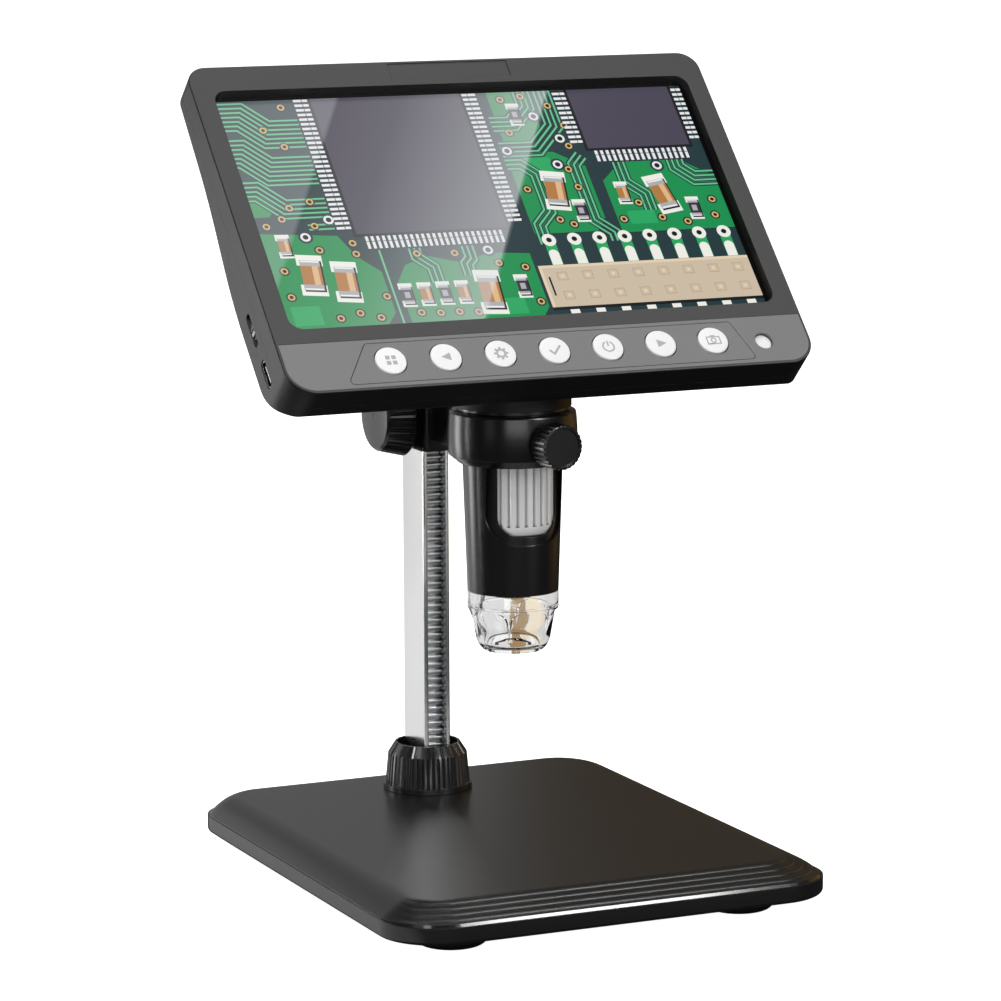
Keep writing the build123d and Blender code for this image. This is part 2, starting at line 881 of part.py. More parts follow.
def flank_point(radius):
    """Point on the flank of a pinion tooth that points along local X, from the involute."""
    slope = radians(pressure_angle)
    roll = acos(min(1.0, pinion_base_radius / radius))
    half_at_pitch = (pi / 2 - gear_backlash / gear_module) / pinion_teeth
    half_angle = half_at_pitch + tan(slope) - slope - tan(roll) + roll
    return radius * cos(half_angle), radius * sin(half_angle)


flank = [
    flank_point(pinion_base_radius),
    flank_point(pinion_pitch_radius),
    flank_point(pinion_tip_radius),
]
tooth_foot = pinion_root_radius - gear_module / 2
with BuildSketch() as pinion_tooth:
    with BuildLine():
        Polyline((tooth_foot, 0), (tooth_foot, flank[0][1]), flank[0])
        Spline(*flank)
        Line(flank[-1], (flank[-1][0], 0))
        mirror(about=Plane.XZ)
    make_face()

with BuildPart() as pinion_shaft:
    with BuildSketch(SHAFT_CROSS):
        Circle(pinion_root_radius)
        with PolarLocations(0, pinion_teeth):
            add(pinion_tooth.sketch)
    extrude(amount=pinion_width / 2, both=True)
    with BuildSketch(SHAFT_CROSS):
        Circle(shaft_radius)
    extrude(amount=shaft_half, both=True)

# ---------------------------------------------------------------- carriage
plate_screw_spots = [
    Plane(origin=(x, plate_face_y, z), x_dir=(1, 0, 0), z_dir=(0, 1, 0))
    for x in (-plate_screw_x, plate_screw_x)
    for z in (block_bottom + plate_screw_inset, block_top - plate_screw_inset)
]

with BuildPart() as carriage_body:
    with BuildSketch(Plane.XY.offset(block_bottom)):
        with Locations((0, block_front)):
            Rectangle(block_width, block_back - block_front, align=(Align.CENTER, Align.MIN))
    extrude(amount=block_height)
    fillet(carriage_body.edges().filter_by(Axis.Z).group_by(Axis.Y)[0], block_round)
    with BuildSketch(Plane.XZ.offset(-head_y)):
        with Locations((0, arm_bottom)):
            Rectangle(arm_width, ring_top - arm_bottom, align=(Align.CENTER, Align.MIN))
    extrude(amount=head_y - block_front - block_round)
    with BuildSketch(HEAD_SECTION):
        with BuildLine():
            Polyline(
                (ring_radius, ring_shoulder_z),
                (ring_bottom_radius, ring_bottom),
                (0, ring_bottom),
                (0, ring_top),
                (ring_radius - ring_top_round, ring_top),
            )
            CenterArc((ring_radius - ring_top_round, ring_rim_z), ring_top_round, 0, 90)
            ThreePointArc(
                (ring_radius, ring_rim_z),
                (ring_radius + ring_belly, (ring_rim_z + ring_shoulder_z) / 2),
                (ring_radius, ring_shoulder_z),
            )
        make_face()
    revolve(axis=HEAD_AXIS)
    with BuildSketch(HEAD_FLOOR.offset(ring_bottom)):
        Circle(ring_bore)
    extrude(amount=ring_height, mode=Mode.SUBTRACT)
    with BuildSketch(Plane.XY.offset(block_bottom)):
        with Locations((0, column_front - sliding_gap)):
            Rectangle(2 * sleeve_half, 2 * column_thickness, align=(Align.CENTER, Align.MIN))
    extrude(amount=block_height, mode=Mode.SUBTRACT)
    with BuildSketch(SHAFT_CROSS):
        Circle(pinion_tip_radius + free_gap)
    extrude(amount=pinion_width / 2 + free_gap, both=True, mode=Mode.SUBTRACT)
    with BuildSketch(SHAFT_CROSS):
        Circle(shaft_radius + running_gap)
    extrude(amount=block_width, both=True, mode=Mode.SUBTRACT)
    with BuildSketch(CLAMP_CROSS):
        Circle(clamp_screw_radius + running_gap)
    extrude(amount=clamp_start, mode=Mode.SUBTRACT)
    cut_shanks(plate_screw_spots, plate_screw_radius + press_gap, plate_screw_length + press_gap)

with BuildPart() as slide_liners:
    with BuildSketch(Plane.XY.offset(block_bottom + liner_margin)):
        with Locations((0, column_y)):
            with GridLocations(2 * sleeve_half - liner_thickness, 1, 2, 1):
                Rectangle(liner_thickness, column_thickness)
    extrude(amount=block_height - 2 * liner_margin)

with BuildPart() as sleeve_plate:
    with BuildSketch(Plane.XY.offset(block_bottom)):
        with Locations((0, block_back)):
            Rectangle(block_width, plate_thickness, align=(Align.CENTER, Align.MIN))
    extrude(amount=block_height)
    fillet(sleeve_plate.edges().filter_by(Axis.Z).group_by(Axis.Y)[-1], plate_round)
    cut_shanks(plate_screw_spots, plate_screw_radius + sliding_gap, plate_thickness)

with BuildPart() as sleeve_screws:
    add_screws(
        plate_screw_spots,
        plate_screw_head_radius,
        plate_screw_head_height,
        plate_screw_radius,
        plate_screw_length,
    )

# ---------------------------------------------------------------- height knobs
grub_spots = [
    Plane(origin=(grub_x, pinion_y, pinion_z + shaft_radius), x_dir=(1, 0, 0), z_dir=(0, 0, 1))
]

with BuildPart() as height_knob_right:
    with BuildSketch(SHAFT_SECTION):
        with BuildLine():
            Polyline(
                (knob_face_x, knob_face_radius),
                (knob_rim_x, knob_rim_radius),
                (knob_heel_x, knob_grip_radius),
                (knob_inner_x, knob_heel_radius),
                (knob_inner_x, 0),
                (knob_face_x + knob_face_dome, 0),
            )
            CenterArc(
                (knob_face_x + knob_face_dome - knob_dome_radius, 0),
                knob_dome_radius,
                0,
                degrees(asin(knob_face_radius / knob_dome_radius)),
            )
        make_face()
    revolve(axis=SHAFT_AXIS)
    with BuildSketch(SHAFT_CROSS.offset(knob_inner_x)):
        Circle(shaft_radius + press_gap)
    extrude(amount=knob_socket_depth + press_gap, mode=Mode.SUBTRACT)
    cut_heads(grub_spots, grub_radius + press_gap, knob_grip_radius)
    cut_grooves(
        groove_cutter(
            knob_grip_radius,
            knob_rim_radius,
            knob_heel_x,
            knob_rim_x - knob_heel_x,
            knob_rib_width,
            knob_rib_depth,
        ),
        knob_rib_count,
        SHAFT_CROSS,
    )

with BuildPart() as height_knob_left:
    mirror(height_knob_right.part, about=Plane.YZ)

with BuildPart() as knob_screws:
    with Locations(*grub_spots):
        Cylinder(grub_radius, grub_length, align=(Align.CENTER, Align.CENTER, Align.MIN))
    mirror(about=Plane.YZ)

with BuildPart() as shaft_washers:
    with BuildSketch(SHAFT_CROSS.offset(block_width / 2 + washer_gap)):
        Circle(washer_radius)
        Circle(shaft_radius + press_gap, mode=Mode.SUBTRACT)
    extrude(amount=knob_inner_x - block_width / 2 - washer_gap)
    mirror(about=Plane.YZ)

# ---------------------------------------------------------------- head clamp
with BuildPart() as clamp_knob:
    with BuildSketch(CLAMP_SECTION):
        with BuildLine():
            FilletPolyline(
                (clamp_start, 0),
                (clamp_start, clamp_neck_radius),
                (clamp_body_start, clamp_neck_radius),
                (clamp_body_start, clamp_radius),
                (clamp_end, clamp_radius),
                (clamp_end, clamp_dish_radius),
                (clamp_dish_end, clamp_dish_radius),
                (clamp_dish_end, 0),
                radius=[0, 0, clamp_edge_round, clamp_edge_round, 0, 0],
            )
            Line((clamp_dish_end, 0), (clamp_start, 0))
        make_face()
    revolve(axis=CLAMP_AXIS)
    with BuildSketch(CLAMP_CROSS.offset(clamp_start)):
        Circle(clamp_screw_radius + press_gap)
    extrude(amount=clamp_screw_socket + press_gap, mode=Mode.SUBTRACT)
    cut_grooves(
        groove_cutter(
            clamp_radius,
            clamp_radius,
            clamp_body_start,
            clamp_end - clamp_body_start,
            clamp_rib_width,
            clamp_rib_depth,
        ),
        clamp_rib_count,
        CLAMP_CROSS,
    )

with BuildPart() as clamp_screw:
    with BuildSketch(CLAMP_CROSS.offset(sleeve_radius + free_gap)):
        Circle(clamp_screw_radius)
    extrude(amount=clamp_start + clamp_screw_socket - sleeve_radius - free_gap)

# ---------------------------------------------------------------- head barrel
barrel_screw_outs = [
    Vector(sin(radians(angle)), cos(radians(angle)), 0)
    for angle in (-barrel_screw_spread, barrel_screw_spread)
]
barrel_screw_spots = [
    Plane(
        origin=Vector(0, head_y, barrel_screw_z) + outward * neck_radius,
        x_dir=(0, 0, 1),
        z_dir=outward,
    )
    for outward in barrel_screw_outs
]


def window_block(half, bottom, corner):
    """A block right through the barrel, upright, with its lower corners rounded."""
    with BuildPart() as block:
        with BuildSketch(HEAD_SECTION):
            with Locations((0, bottom)):
                Rectangle(2 * half, window_top - bottom, align=(Align.CENTER, Align.MIN))
        extrude(amount=2 * flange_radius, both=True)
        fillet(block.edges().filter_by(Axis.Y).group_by(Axis.Z)[0], corner)
    return block.part


with BuildPart() as window_rims:
    add(
        window_block(
            window_half_width + window_rim_width,
            window_bottom - window_rim_drop,
            window_rim_corner,
        )
    )
    with BuildSketch(HEAD_FLOOR.offset(barrel_bottom)):
        Circle(wheel_cavity + window_rim_skin)
    extrude(amount=barrel_top, mode=Mode.SUBTRACT)

with BuildPart() as barrel_shell:
    with BuildSketch(HEAD_SECTION):
        with BuildLine():
            Polyline(
                (0, barrel_bottom),
                (barrel_end_radius, barrel_bottom),
                (sleeve_radius, ring_bottom),
                (sleeve_radius, head_rest_z),
                (flange_radius, head_rest_z),
                (flange_radius, flange_top),
                (sleeve_radius, flange_top),
                (sleeve_radius, barrel_top),
                (0, barrel_top),
                close=True,
            )
        make_face()
    revolve(axis=HEAD_AXIS)
    for low, high, radius in (
        (barrel_bottom, guide_bottom, barrel_lower_bore),
        (guide_bottom, guide_top, guide_bore),
        (guide_top, board_ledge_z, wheel_cavity),
        (board_ledge_z, barrel_top, ledge_bore),
    ):
        with BuildSketch(HEAD_FLOOR.offset(low)):
            Circle(radius)
        extrude(amount=high - low, mode=Mode.SUBTRACT)
    with BuildSketch(HEAD_FLOOR.offset(guide_bottom)):
        Rectangle(2 * (guide_bore + key_reach), key_width + 2 * sliding_gap)
    extrude(amount=guide_top - guide_bottom, mode=Mode.SUBTRACT)
    add(window_rims.part, mode=Mode.SUBTRACT)
    add(window_block(window_half_width, window_bottom, window_corner), mode=Mode.SUBTRACT)
    cut_shanks(barrel_screw_spots, barrel_screw_radius + press_gap, barrel_screw_length + press_gap)

with BuildPart() as barrel_screws:
    with Locations(*barrel_screw_spots):
        Cylinder(
            barrel_screw_radius,
            barrel_screw_length,
            align=(Align.CENTER, Align.CENTER, Align.MAX),
        )

with BuildPart() as focus_wheel:
    with BuildSketch(HEAD_SECTION):
        with BuildLine():
            Polyline(
                (wheel_nose_radius, wheel_bottom),
                (wheel_bore, wheel_bottom),
                (wheel_bore, wheel_top),
                (wheel_radius, wheel_top),
                (wheel_radius, wheel_nose_z),
            )
            EllipticalCenterArc(
                (wheel_nose_radius, wheel_nose_z),
                wheel_radius - wheel_nose_radius,
                wheel_nose_height,
                start_angle=270,
                arc_size=90,
            )
        make_face()
    revolve(axis=HEAD_AXIS)
    cut_grooves(
        groove_cutter(
            wheel_radius,
            wheel_radius,
            wheel_nose_z,
            wheel_height,
            wheel_rib_width,
            wheel_rib_depth,
        ),
        wheel_rib_count,
        HEAD_FLOOR,
    )

with BuildPart() as wheel_spacer:
    with BuildSketch(HEAD_FLOOR.offset(wheel_top + rest_gap)):
        Circle(wheel_cavity - press_gap)
        Circle(wheel_cavity - spacer_wall, mode=Mode.SUBTRACT)
    extrude(amount=board_ledge_z - wheel_top - rest_gap)

# ---------------------------------------------------------------- lens cell, camera and lights
with BuildPart() as lens_cell:
    with BuildSketch(HEAD_FLOOR.offset(lens_tube_bottom)):
        Circle(lens_tube_radius)
    extrude(amount=lens_cell_bottom - lens_tube_bottom)
    with BuildSketch(HEAD_FLOOR.offset(lens_cell_bottom)):
        Circle(lens_cell_radius)
    extrude(amount=lens_cell_top - lens_cell_bottom)
    with BuildSketch(HEAD_FLOOR.offset(lens_cell_bottom)):
        Rectangle(2 * (lens_cell_radius + key_reach), key_width)
    extrude(amount=key_height)
    for low, high, radius in (
        (lens_tube_bottom, front_lens_z, front_lens_radius - lens_ledge),
        (front_lens_z, rear_lens_z, front_lens_radius + press_gap),
        (rear_lens_z, lens_cell_top, rear_lens_radius + press_gap),
    ):
        with BuildSketch(HEAD_FLOOR.offset(low)):
            Circle(radius)
        extrude(amount=high - low, mode=Mode.SUBTRACT)

with BuildPart() as lens_elements:
    for radius, seat in ((front_lens_radius, front_lens_z), (rear_lens_radius, rear_lens_z)):
        ball_radius = (radius**2 + lens_bulge**2) / (2 * lens_bulge)
        with BuildSketch(HEAD_SECTION):
            with Locations((0, seat + lens_edge + lens_bulge - ball_radius)):
                Circle(ball_radius)
            with Locations((0, seat)):
                Rectangle(
                    radius,
                    lens_edge + lens_bulge,
                    align=(Align.MIN, Align.MIN),
                    mode=Mode.INTERSECT,
                )
        revolve(axis=HEAD_AXIS)

with BuildPart() as camera_board:
    with BuildSketch(HEAD_FLOOR.offset(board_ledge_z)):
        Circle(ledge_bore - board_gap)
    extrude(amount=camera_board_thickness)

with BuildPart() as image_sensor:
    with BuildSketch(HEAD_FLOOR.offset(board_ledge_z)):
        Rectangle(sensor_size, sensor_size)
    extrude(amount=-sensor_thickness)

with BuildPart() as led_board:
    with BuildSketch(HEAD_FLOOR.offset(led_board_z)):
        Circle(barrel_lower_bore - press_gap)
        Circle(led_board_bore, mode=Mode.SUBTRACT)
    extrude(amount=led_board_thickness)

with BuildPart() as ring_leds:
    with BuildSketch(HEAD_FLOOR.offset(led_board_z)):
        with PolarLocations(led_circle, led_count):
            Rectangle(led_size, led_size)
    extrude(amount=-led_height)


# ---------------------------------------------------------------- clear tip
def tip_form(inset):
    """The clear tip below its ring as a solid, with its side and floor drawn in by an inset."""
    nose = (tip_nose_radius - inset, tip_bottom + tip_nose_height)
    end = (tip_end_radius - inset, tip_bottom + inset)
    with BuildPart() as form:
        with BuildSketch(HEAD_SECTION):
            with BuildLine():
                Polyline(
                    nose,
                    (tip_waist_radius - inset, tip_bottom + tip_waist_height),
                    (tip_shoulder_radius - inset, tip_groove_z),
                    (0, tip_groove_z),
                    (0, tip_bottom + inset),
                    end,
                )
                TangentArc(
                    nose,
                    end,
                    tangent=(
                        tip_nose_radius - tip_waist_radius,
                        tip_nose_height - tip_waist_height,
                    ),
                )
            make_face()
        revolve(axis=HEAD_AXIS)
    return form.part


with BuildPart() as flute_floor:
    with BuildSketch(HEAD_SECTION):
        Polygon(
            (0, tip_bottom + tip_nose_height),
            (tip_nose_radius + flute_fade, tip_bottom + tip_nose_height),
            (tip_shoulder_radius - flute_depth, tip_groove_z),
            (0, tip_groove_z),
            align=None,
        )
    revolve(axis=HEAD_AXIS)

with BuildPart() as flutes:
    for turn in range(flute_count):
        angle = radians((turn + 0.5) * 360 / flute_count)
        outward = Plane(
            origin=(0, head_y, tip_bottom + tip_nose_height),
            x_dir=(-sin(angle), cos(angle), 0),
            z_dir=(cos(angle), sin(angle), 0),
        )
        with BuildSketch(outward):
            RectangleRounded(
                flute_width, flute_height, flute_corner, align=(Align.CENTER, Align.MIN)
            )
        extrude(amount=2 * tip_ring_radius)
    add(flute_floor.part, mode=Mode.SUBTRACT)

with BuildPart() as clear_tip:
    add(tip_form(0))
    for low, high, radius in (
        (tip_groove_z, tip_ring_z, tip_groove_radius),
        (tip_ring_z, tip_top, tip_ring_radius),
        (tip_top, tip_top + tip_spigot_height, tip_spigot_radius),
    ):
        with BuildSketch(HEAD_FLOOR.offset(low)):
            Circle(radius)
        extrude(amount=high - low)
    add(flutes.part, mode=Mode.SUBTRACT)
    add(tip_form(tip_wall), mode=Mode.SUBTRACT)
    with BuildSketch(HEAD_FLOOR.offset(tip_groove_z)):
        Circle(tip_spigot_radius - tip_spigot_wall)
    extrude(amount=tip_height, mode=Mode.SUBTRACT)
    with BuildSketch(HEAD_FLOOR.offset(tip_bottom)):
        Circle(tip_opening_radius)
    extrude(amount=tip_height, mode=Mode.SUBTRACT)

# ---------------------------------------------------------------- screen housing, front
button_names = ["menu", "left", "mode", "ok", "power", "right", "capture"]
button_spots = [
    (button_row_x + (i - (button_count - 1) / 2) * button_pitch, button_row_height)
    for i in range(button_count)
]
button_post_spots = [
    (button_row_x + steps * button_pitch, button_row_height) for steps in (-3.5, -1.5, 1.5, 3.5)
]
case_screw_spots = [
    (side * x, height)
    for side in (-1, 1)
    for x, height in (
        (case_screw_top_x, case_screw_top_height),
        (case_screw_low_x, case_screw_low_height),
    )
]
board_post_spots = [
    (side * board_post_x, height)
    for side in (-1, 1)
    for height in (board_bottom + board_post_inset, board_top - board_post_inset)
]

with BuildPart() as front_bezel:
    with BuildSketch(FACE):
        with BuildLine():
            housing_outline(0)
        make_face()
    extrude(amount=-bezel_depth)
    fillet(front_bezel.faces().sort_by(FACE_OUT)[-1].edges(), bezel_edge_round)
    with BuildSketch(FACE.offset(-bezel_front_wall)):
        with BuildLine():
            housing_outline(bezel_side_wall)
        make_face()
        with Locations(*case_screw_spots):
            Circle(case_boss_radius, mode=Mode.SUBTRACT)
    extrude(amount=-bezel_depth, mode=Mode.SUBTRACT)
    with BuildSketch(FACE):
        with Locations((0, opening_middle)):
            RectangleRounded(opening_width, opening_height, opening_corner)
        with Locations(*button_spots):
            Circle(button_hole_radius)
        with Locations((indicator_x, indicator_height)):
            Circle(indicator_hole_radius)
    extrude(amount=-bezel_front_wall, mode=Mode.SUBTRACT)
    with BuildSketch(FACE):
        with Locations((0, housing_height - nameplate_top_margin)):
            Rectangle(nameplate_width, nameplate_height, align=(Align.CENTER, Align.MAX))
    extrude(amount=-nameplate_depth, mode=Mode.SUBTRACT)
    with BuildSketch(FACE):
        with BuildLine():
            housing_outline(strip_margin - strip_seam)
        make_face()
        with Locations((0, strip_top + strip_seam)):
            Rectangle(
                housing_width,
                housing_height,
                align=(Align.CENTER, Align.MIN),
                mode=Mode.SUBTRACT,
            )
    extrude(amount=-strip_thickness, mode=Mode.SUBTRACT)
    with BuildSketch(FACE.offset(-bezel_front_wall)):
        with Locations(*button_post_spots):
            Circle(button_post_radius)
    extrude(amount=bezel_front_wall - button_board_depth)
    with BuildSketch(FACE.offset(-case_screw_seat_depth)):
        with Locations(*case_screw_spots):
            Circle(case_screw_radius + press_gap)
    extrude(amount=case_screw_length + press_gap, mode=Mode.SUBTRACT)


def panel_outline():
    """The button panel's outline in the open line, a strip with slanted ends."""
    FilletPolyline(
        (panel_left_bottom, panel_bottom),
        (panel_right_bottom, panel_bottom),
        (panel_right_top, panel_top),
        (panel_left_top, panel_top),
        radius=panel_corner,
        close=True,
    )


with BuildPart() as control_strip:
    with BuildSketch(FACE):
        with BuildLine():
            housing_outline(strip_margin)
        make_face()
        with Locations((0, strip_top)):
            Rectangle(
                housing_width,
                housing_height,
                align=(Align.CENTER, Align.MIN),
                mode=Mode.SUBTRACT,
            )
        with Locations((indicator_x, indicator_height)):
            Circle(indicator_hole_radius, mode=Mode.SUBTRACT)
    extrude(amount=-strip_thickness)
    with BuildSketch(FACE):
        with BuildLine():
            panel_outline()
        make_face()
        offset(amount=panel_seam)
    extrude(amount=-strip_thickness, mode=Mode.SUBTRACT)

with BuildPart() as button_panel:
    with BuildSketch(FACE):
        with BuildLine():
            panel_outline()
        make_face()
        with Locations(*button_spots):
            Circle(button_hole_radius, mode=Mode.SUBTRACT)
    extrude(amount=-strip_thickness)

# ---------------------------------------------------------------- buttons and their switches
buttons = {}
for button_name, spot in zip(button_names, button_spots):
    with BuildPart() as button:
        with BuildSketch(FACE.offset(button_proud)):
            with Locations(spot):
                Circle(button_radius)
        extrude(amount=-button_proud - button_flange_depth)
        fillet(button.edges().sort_by(FACE_OUT)[-1], button_round)
        with BuildSketch(FACE.offset(-button_flange_depth)):
            with Locations(spot):
                Circle(button_flange_radius)
        extrude(amount=-button_flange_thickness)
        with BuildSketch(FACE.offset(-button_stem_depth)):
            with Locations(spot):
                Circle(button_stem_radius)
        extrude(amount=button_stem_length)
    buttons["button_" + button_name] = button

with BuildPart() as button_board:
    with BuildSketch(FACE.offset(-button_board_depth)):
        with Locations((0, button_board_bottom)):
            Rectangle(
                button_board_width,
                button_board_top - button_board_bottom,
                align=(Align.CENTER, Align.MIN),
            )
    extrude(amount=-button_board_thickness)
    with BuildSketch(FACE.offset(-button_board_depth)):
        with Locations((indicator_x, indicator_height)):
            Rectangle(indicator_led_size, indicator_led_size)
    extrude(amount=switch_height)

with BuildPart() as tact_switches:
    with BuildSketch(FACE.offset(-button_board_depth)):
        with Locations(*button_spots):
            Rectangle(switch_size, switch_size)
    extrude(amount=switch_height)
    with BuildSketch(FACE.offset(switch_height - button_board_depth)):
        with Locations(*button_spots):
            Circle(switch_plunger_radius)
    extrude(amount=switch_plunger_height)

with BuildPart() as indicator_lens:
    with BuildSketch(FACE.offset(-indicator_recess)):
        with Locations((indicator_x, indicator_height)):
            Circle(indicator_radius)
    extrude(amount=indicator_recess - bezel_front_wall)
    with BuildSketch(FACE.offset(-bezel_front_wall)):
        with Locations((indicator_x, indicator_height)):
            Circle(indicator_flange_radius)
    extrude(amount=-indicator_flange_thickness)

# ---------------------------------------------------------------- screen and boards
with BuildPart() as lcd_panel:
    with BuildSketch(FACE.offset(-lcd_depth)):
        with Locations((0, opening_middle)):
            Rectangle(lcd_width, lcd_height)
    extrude(amount=-lcd_glass_thickness)

with BuildPart() as lcd_backlight:
    with BuildSketch(FACE.offset(-backlight_depth)):
        with Locations((0, opening_middle)):
            Rectangle(lcd_width - 2 * backlight_inset, lcd_height - 2 * backlight_inset)
    extrude(amount=-backlight_thickness)

with BuildPart() as battery_pack:
    with BuildSketch(FACE.offset(-battery_depth)):
        with Locations((0, battery_bottom)):
            Rectangle(
                battery_width,
                battery_top - battery_bottom,
                align=(Align.CENTER, Align.MIN),
            )
    extrude(amount=-battery_thickness)
    fillet(battery_pack.edges().filter_by(Axis.X), battery_round)

with BuildPart() as main_board:
    with BuildSketch(FACE.offset(-board_depth)):
        with Locations((0, board_bottom)):
            Rectangle(board_width, board_top - board_bottom, align=(Align.CENTER, Align.MIN))
    extrude(amount=-board_thickness)
    with BuildSketch(FACE.offset(-board_depth)):
        with Locations((0, (board_bottom + board_top) / 2)):
            with GridLocations(chip_pitch, 1, chip_count, 1):
                Rectangle(chip_size, chip_size)
    extrude(amount=chip_thickness)
    with BuildSketch(FACE.offset(-board_depth)):
        with Locations((dimmer_x, dimmer_height)):
            Circle(dimmer_post_radius)
    extrude(amount=board_depth - dimmer_depth)

usb_mouth = Plane(
    origin=FACE.from_local_coords((free_gap - half_width, usb_height, -usb_depth)),
    x_dir=FACE.y_dir,
    z_dir=(1, 0, 0),
)
with BuildPart() as usb_port:
    with BuildSketch(usb_mouth):
        RectangleRounded(usb_width, usb_thickness, usb_thickness / 2 - press_gap)
    extrude(amount=usb_length)
    with BuildSketch(usb_mouth):
        RectangleRounded(
            usb_width - 2 * usb_skin,
            usb_thickness - 2 * usb_skin,
            usb_thickness / 2 - usb_skin - press_gap,
        )
    extrude(amount=usb_length - 2 * usb_skin, mode=Mode.SUBTRACT)
    with BuildSketch(usb_mouth.offset(usb_skin)):
        Rectangle(usb_width - usb_thickness, usb_tongue_thickness)
    extrude(amount=usb_length - usb_skin)

card_mouth = Plane(
    origin=FACE.from_local_coords((half_width - rear_wall - sliding_gap, card_height, -card_depth)),
    x_dir=FACE.y_dir,
    z_dir=(-1, 0, 0),
)
with BuildPart() as card_socket:
    with BuildSketch(card_mouth):
        Rectangle(card_width, card_thickness)
    extrude(amount=card_length)
    with BuildSketch(card_mouth):
        Rectangle(card_slot_width, card_slot_height)
    extrude(amount=card_slot_depth, mode=Mode.SUBTRACT)

dimmer_floor = Plane(
    origin=FACE.from_local_coords((dimmer_x, dimmer_height, -dimmer_depth - dimmer_thickness)),
    x_dir=(1, 0, 0),
    z_dir=FACE.z_dir,
)
with BuildPart() as dimmer_wheel:
    with BuildSketch(dimmer_floor):
        Circle(dimmer_radius)
        Circle(dimmer_post_radius + running_gap, mode=Mode.SUBTRACT)
    extrude(amount=dimmer_thickness)
    cut_grooves(
        groove_cutter(
            dimmer_radius, dimmer_radius, 0, dimmer_thickness, dimmer_rib_width, dimmer_rib_depth
        ),
        dimmer_rib_count,
        dimmer_floor,
    )

with BuildPart() as flex_cable:
    with BuildSketch(HEAD_FLOOR.offset(board_ledge_z + camera_board_thickness)):
        Rectangle(flex_width, flex_thickness)
    extrude(amount=housing_height)
    add(behind(board_back), mode=Mode.INTERSECT)

# ---------------------------------------------------------------- screen housing, rear
with BuildPart() as neck:
    with BuildSketch(HEAD_FLOOR.offset(neck_bottom)):
        Circle(neck_radius)
    extrude(amount=housing_height)
    add(behind(rear_bottom_depth), mode=Mode.INTERSECT)

with BuildPart() as bosses:
    with BuildSketch(FACE.offset(-bezel_depth)):
        with Locations(*case_screw_spots):
            Circle(case_head_hole + case_boss_wall)
    extrude(amount=-rear_deep_depth)
    with BuildSketch(FACE.offset(-board_back)):
        with Locations(*board_post_spots):
            Circle(board_post_radius)
    extrude(amount=-rear_deep_depth)
    add(housing_form(0), mode=Mode.INTERSECT)

side_slots = [
    (-1, usb_height, usb_depth, usb_width + 2 * usb_clearance, usb_thickness + 2 * usb_clearance),
    (
        -1,
        dimmer_height,
        dimmer_depth + dimmer_thickness / 2,
        dimmer_slot_length,
        dimmer_thickness + 2 * free_gap,
    ),
    (
        1,
        card_height,
        card_depth,
        card_slot_width + 2 * sliding_gap,
        card_slot_height + 2 * sliding_gap,
    ),
]

with BuildPart() as rear_shell:
    add(housing_form(0))
    add(neck.part)
    add(housing_form(rear_wall), mode=Mode.SUBTRACT)
    add(bosses.part)
    with BuildSketch(HEAD_FLOOR.offset(neck_bottom)):
        Circle(neck_bore)
    extrude(amount=housing_height, mode=Mode.SUBTRACT)
    with BuildSketch(HEAD_FLOOR.offset(neck_bottom)):
        Circle(flange_radius + sliding_gap)
    extrude(amount=flange_top + rest_gap - neck_bottom, mode=Mode.SUBTRACT)
    cut_shanks(barrel_screw_spots, barrel_screw_radius + press_gap, barrel_screw_length)
    with BuildSketch(FACE):
        with Locations(*case_screw_spots):
            Circle(case_screw_radius + sliding_gap)
    extrude(amount=-2 * rear_deep_depth, mode=Mode.SUBTRACT)
    with BuildSketch(FACE.offset(-case_screw_seat_depth)):
        with Locations(*case_screw_spots):
            Circle(case_head_hole)
    extrude(amount=-rear_deep_depth, mode=Mode.SUBTRACT)
    for side, height, depth, length, opening in side_slots:
        slot_start = side * (half_width - card_length)
        slot_plane = Plane(
            origin=FACE.from_local_coords((slot_start, height, -depth)),
            x_dir=FACE.y_dir,
            z_dir=(side, 0, 0),
        )
        with BuildSketch(slot_plane):
            RectangleRounded(length, opening, opening / 2 - press_gap)
        extrude(amount=housing_width, mode=Mode.SUBTRACT)

with BuildPart() as case_screws:
    add_screws(
        [
            Plane(
                origin=FACE.from_local_coords((x, height, -case_screw_seat_depth)),
                x_dir=(1, 0, 0),
                z_dir=-FACE.z_dir,
            )
            for x, height in case_screw_spots
        ],
        case_screw_head_radius,
        case_screw_head_height,
        case_screw_radius,
        case_screw_length,
    )

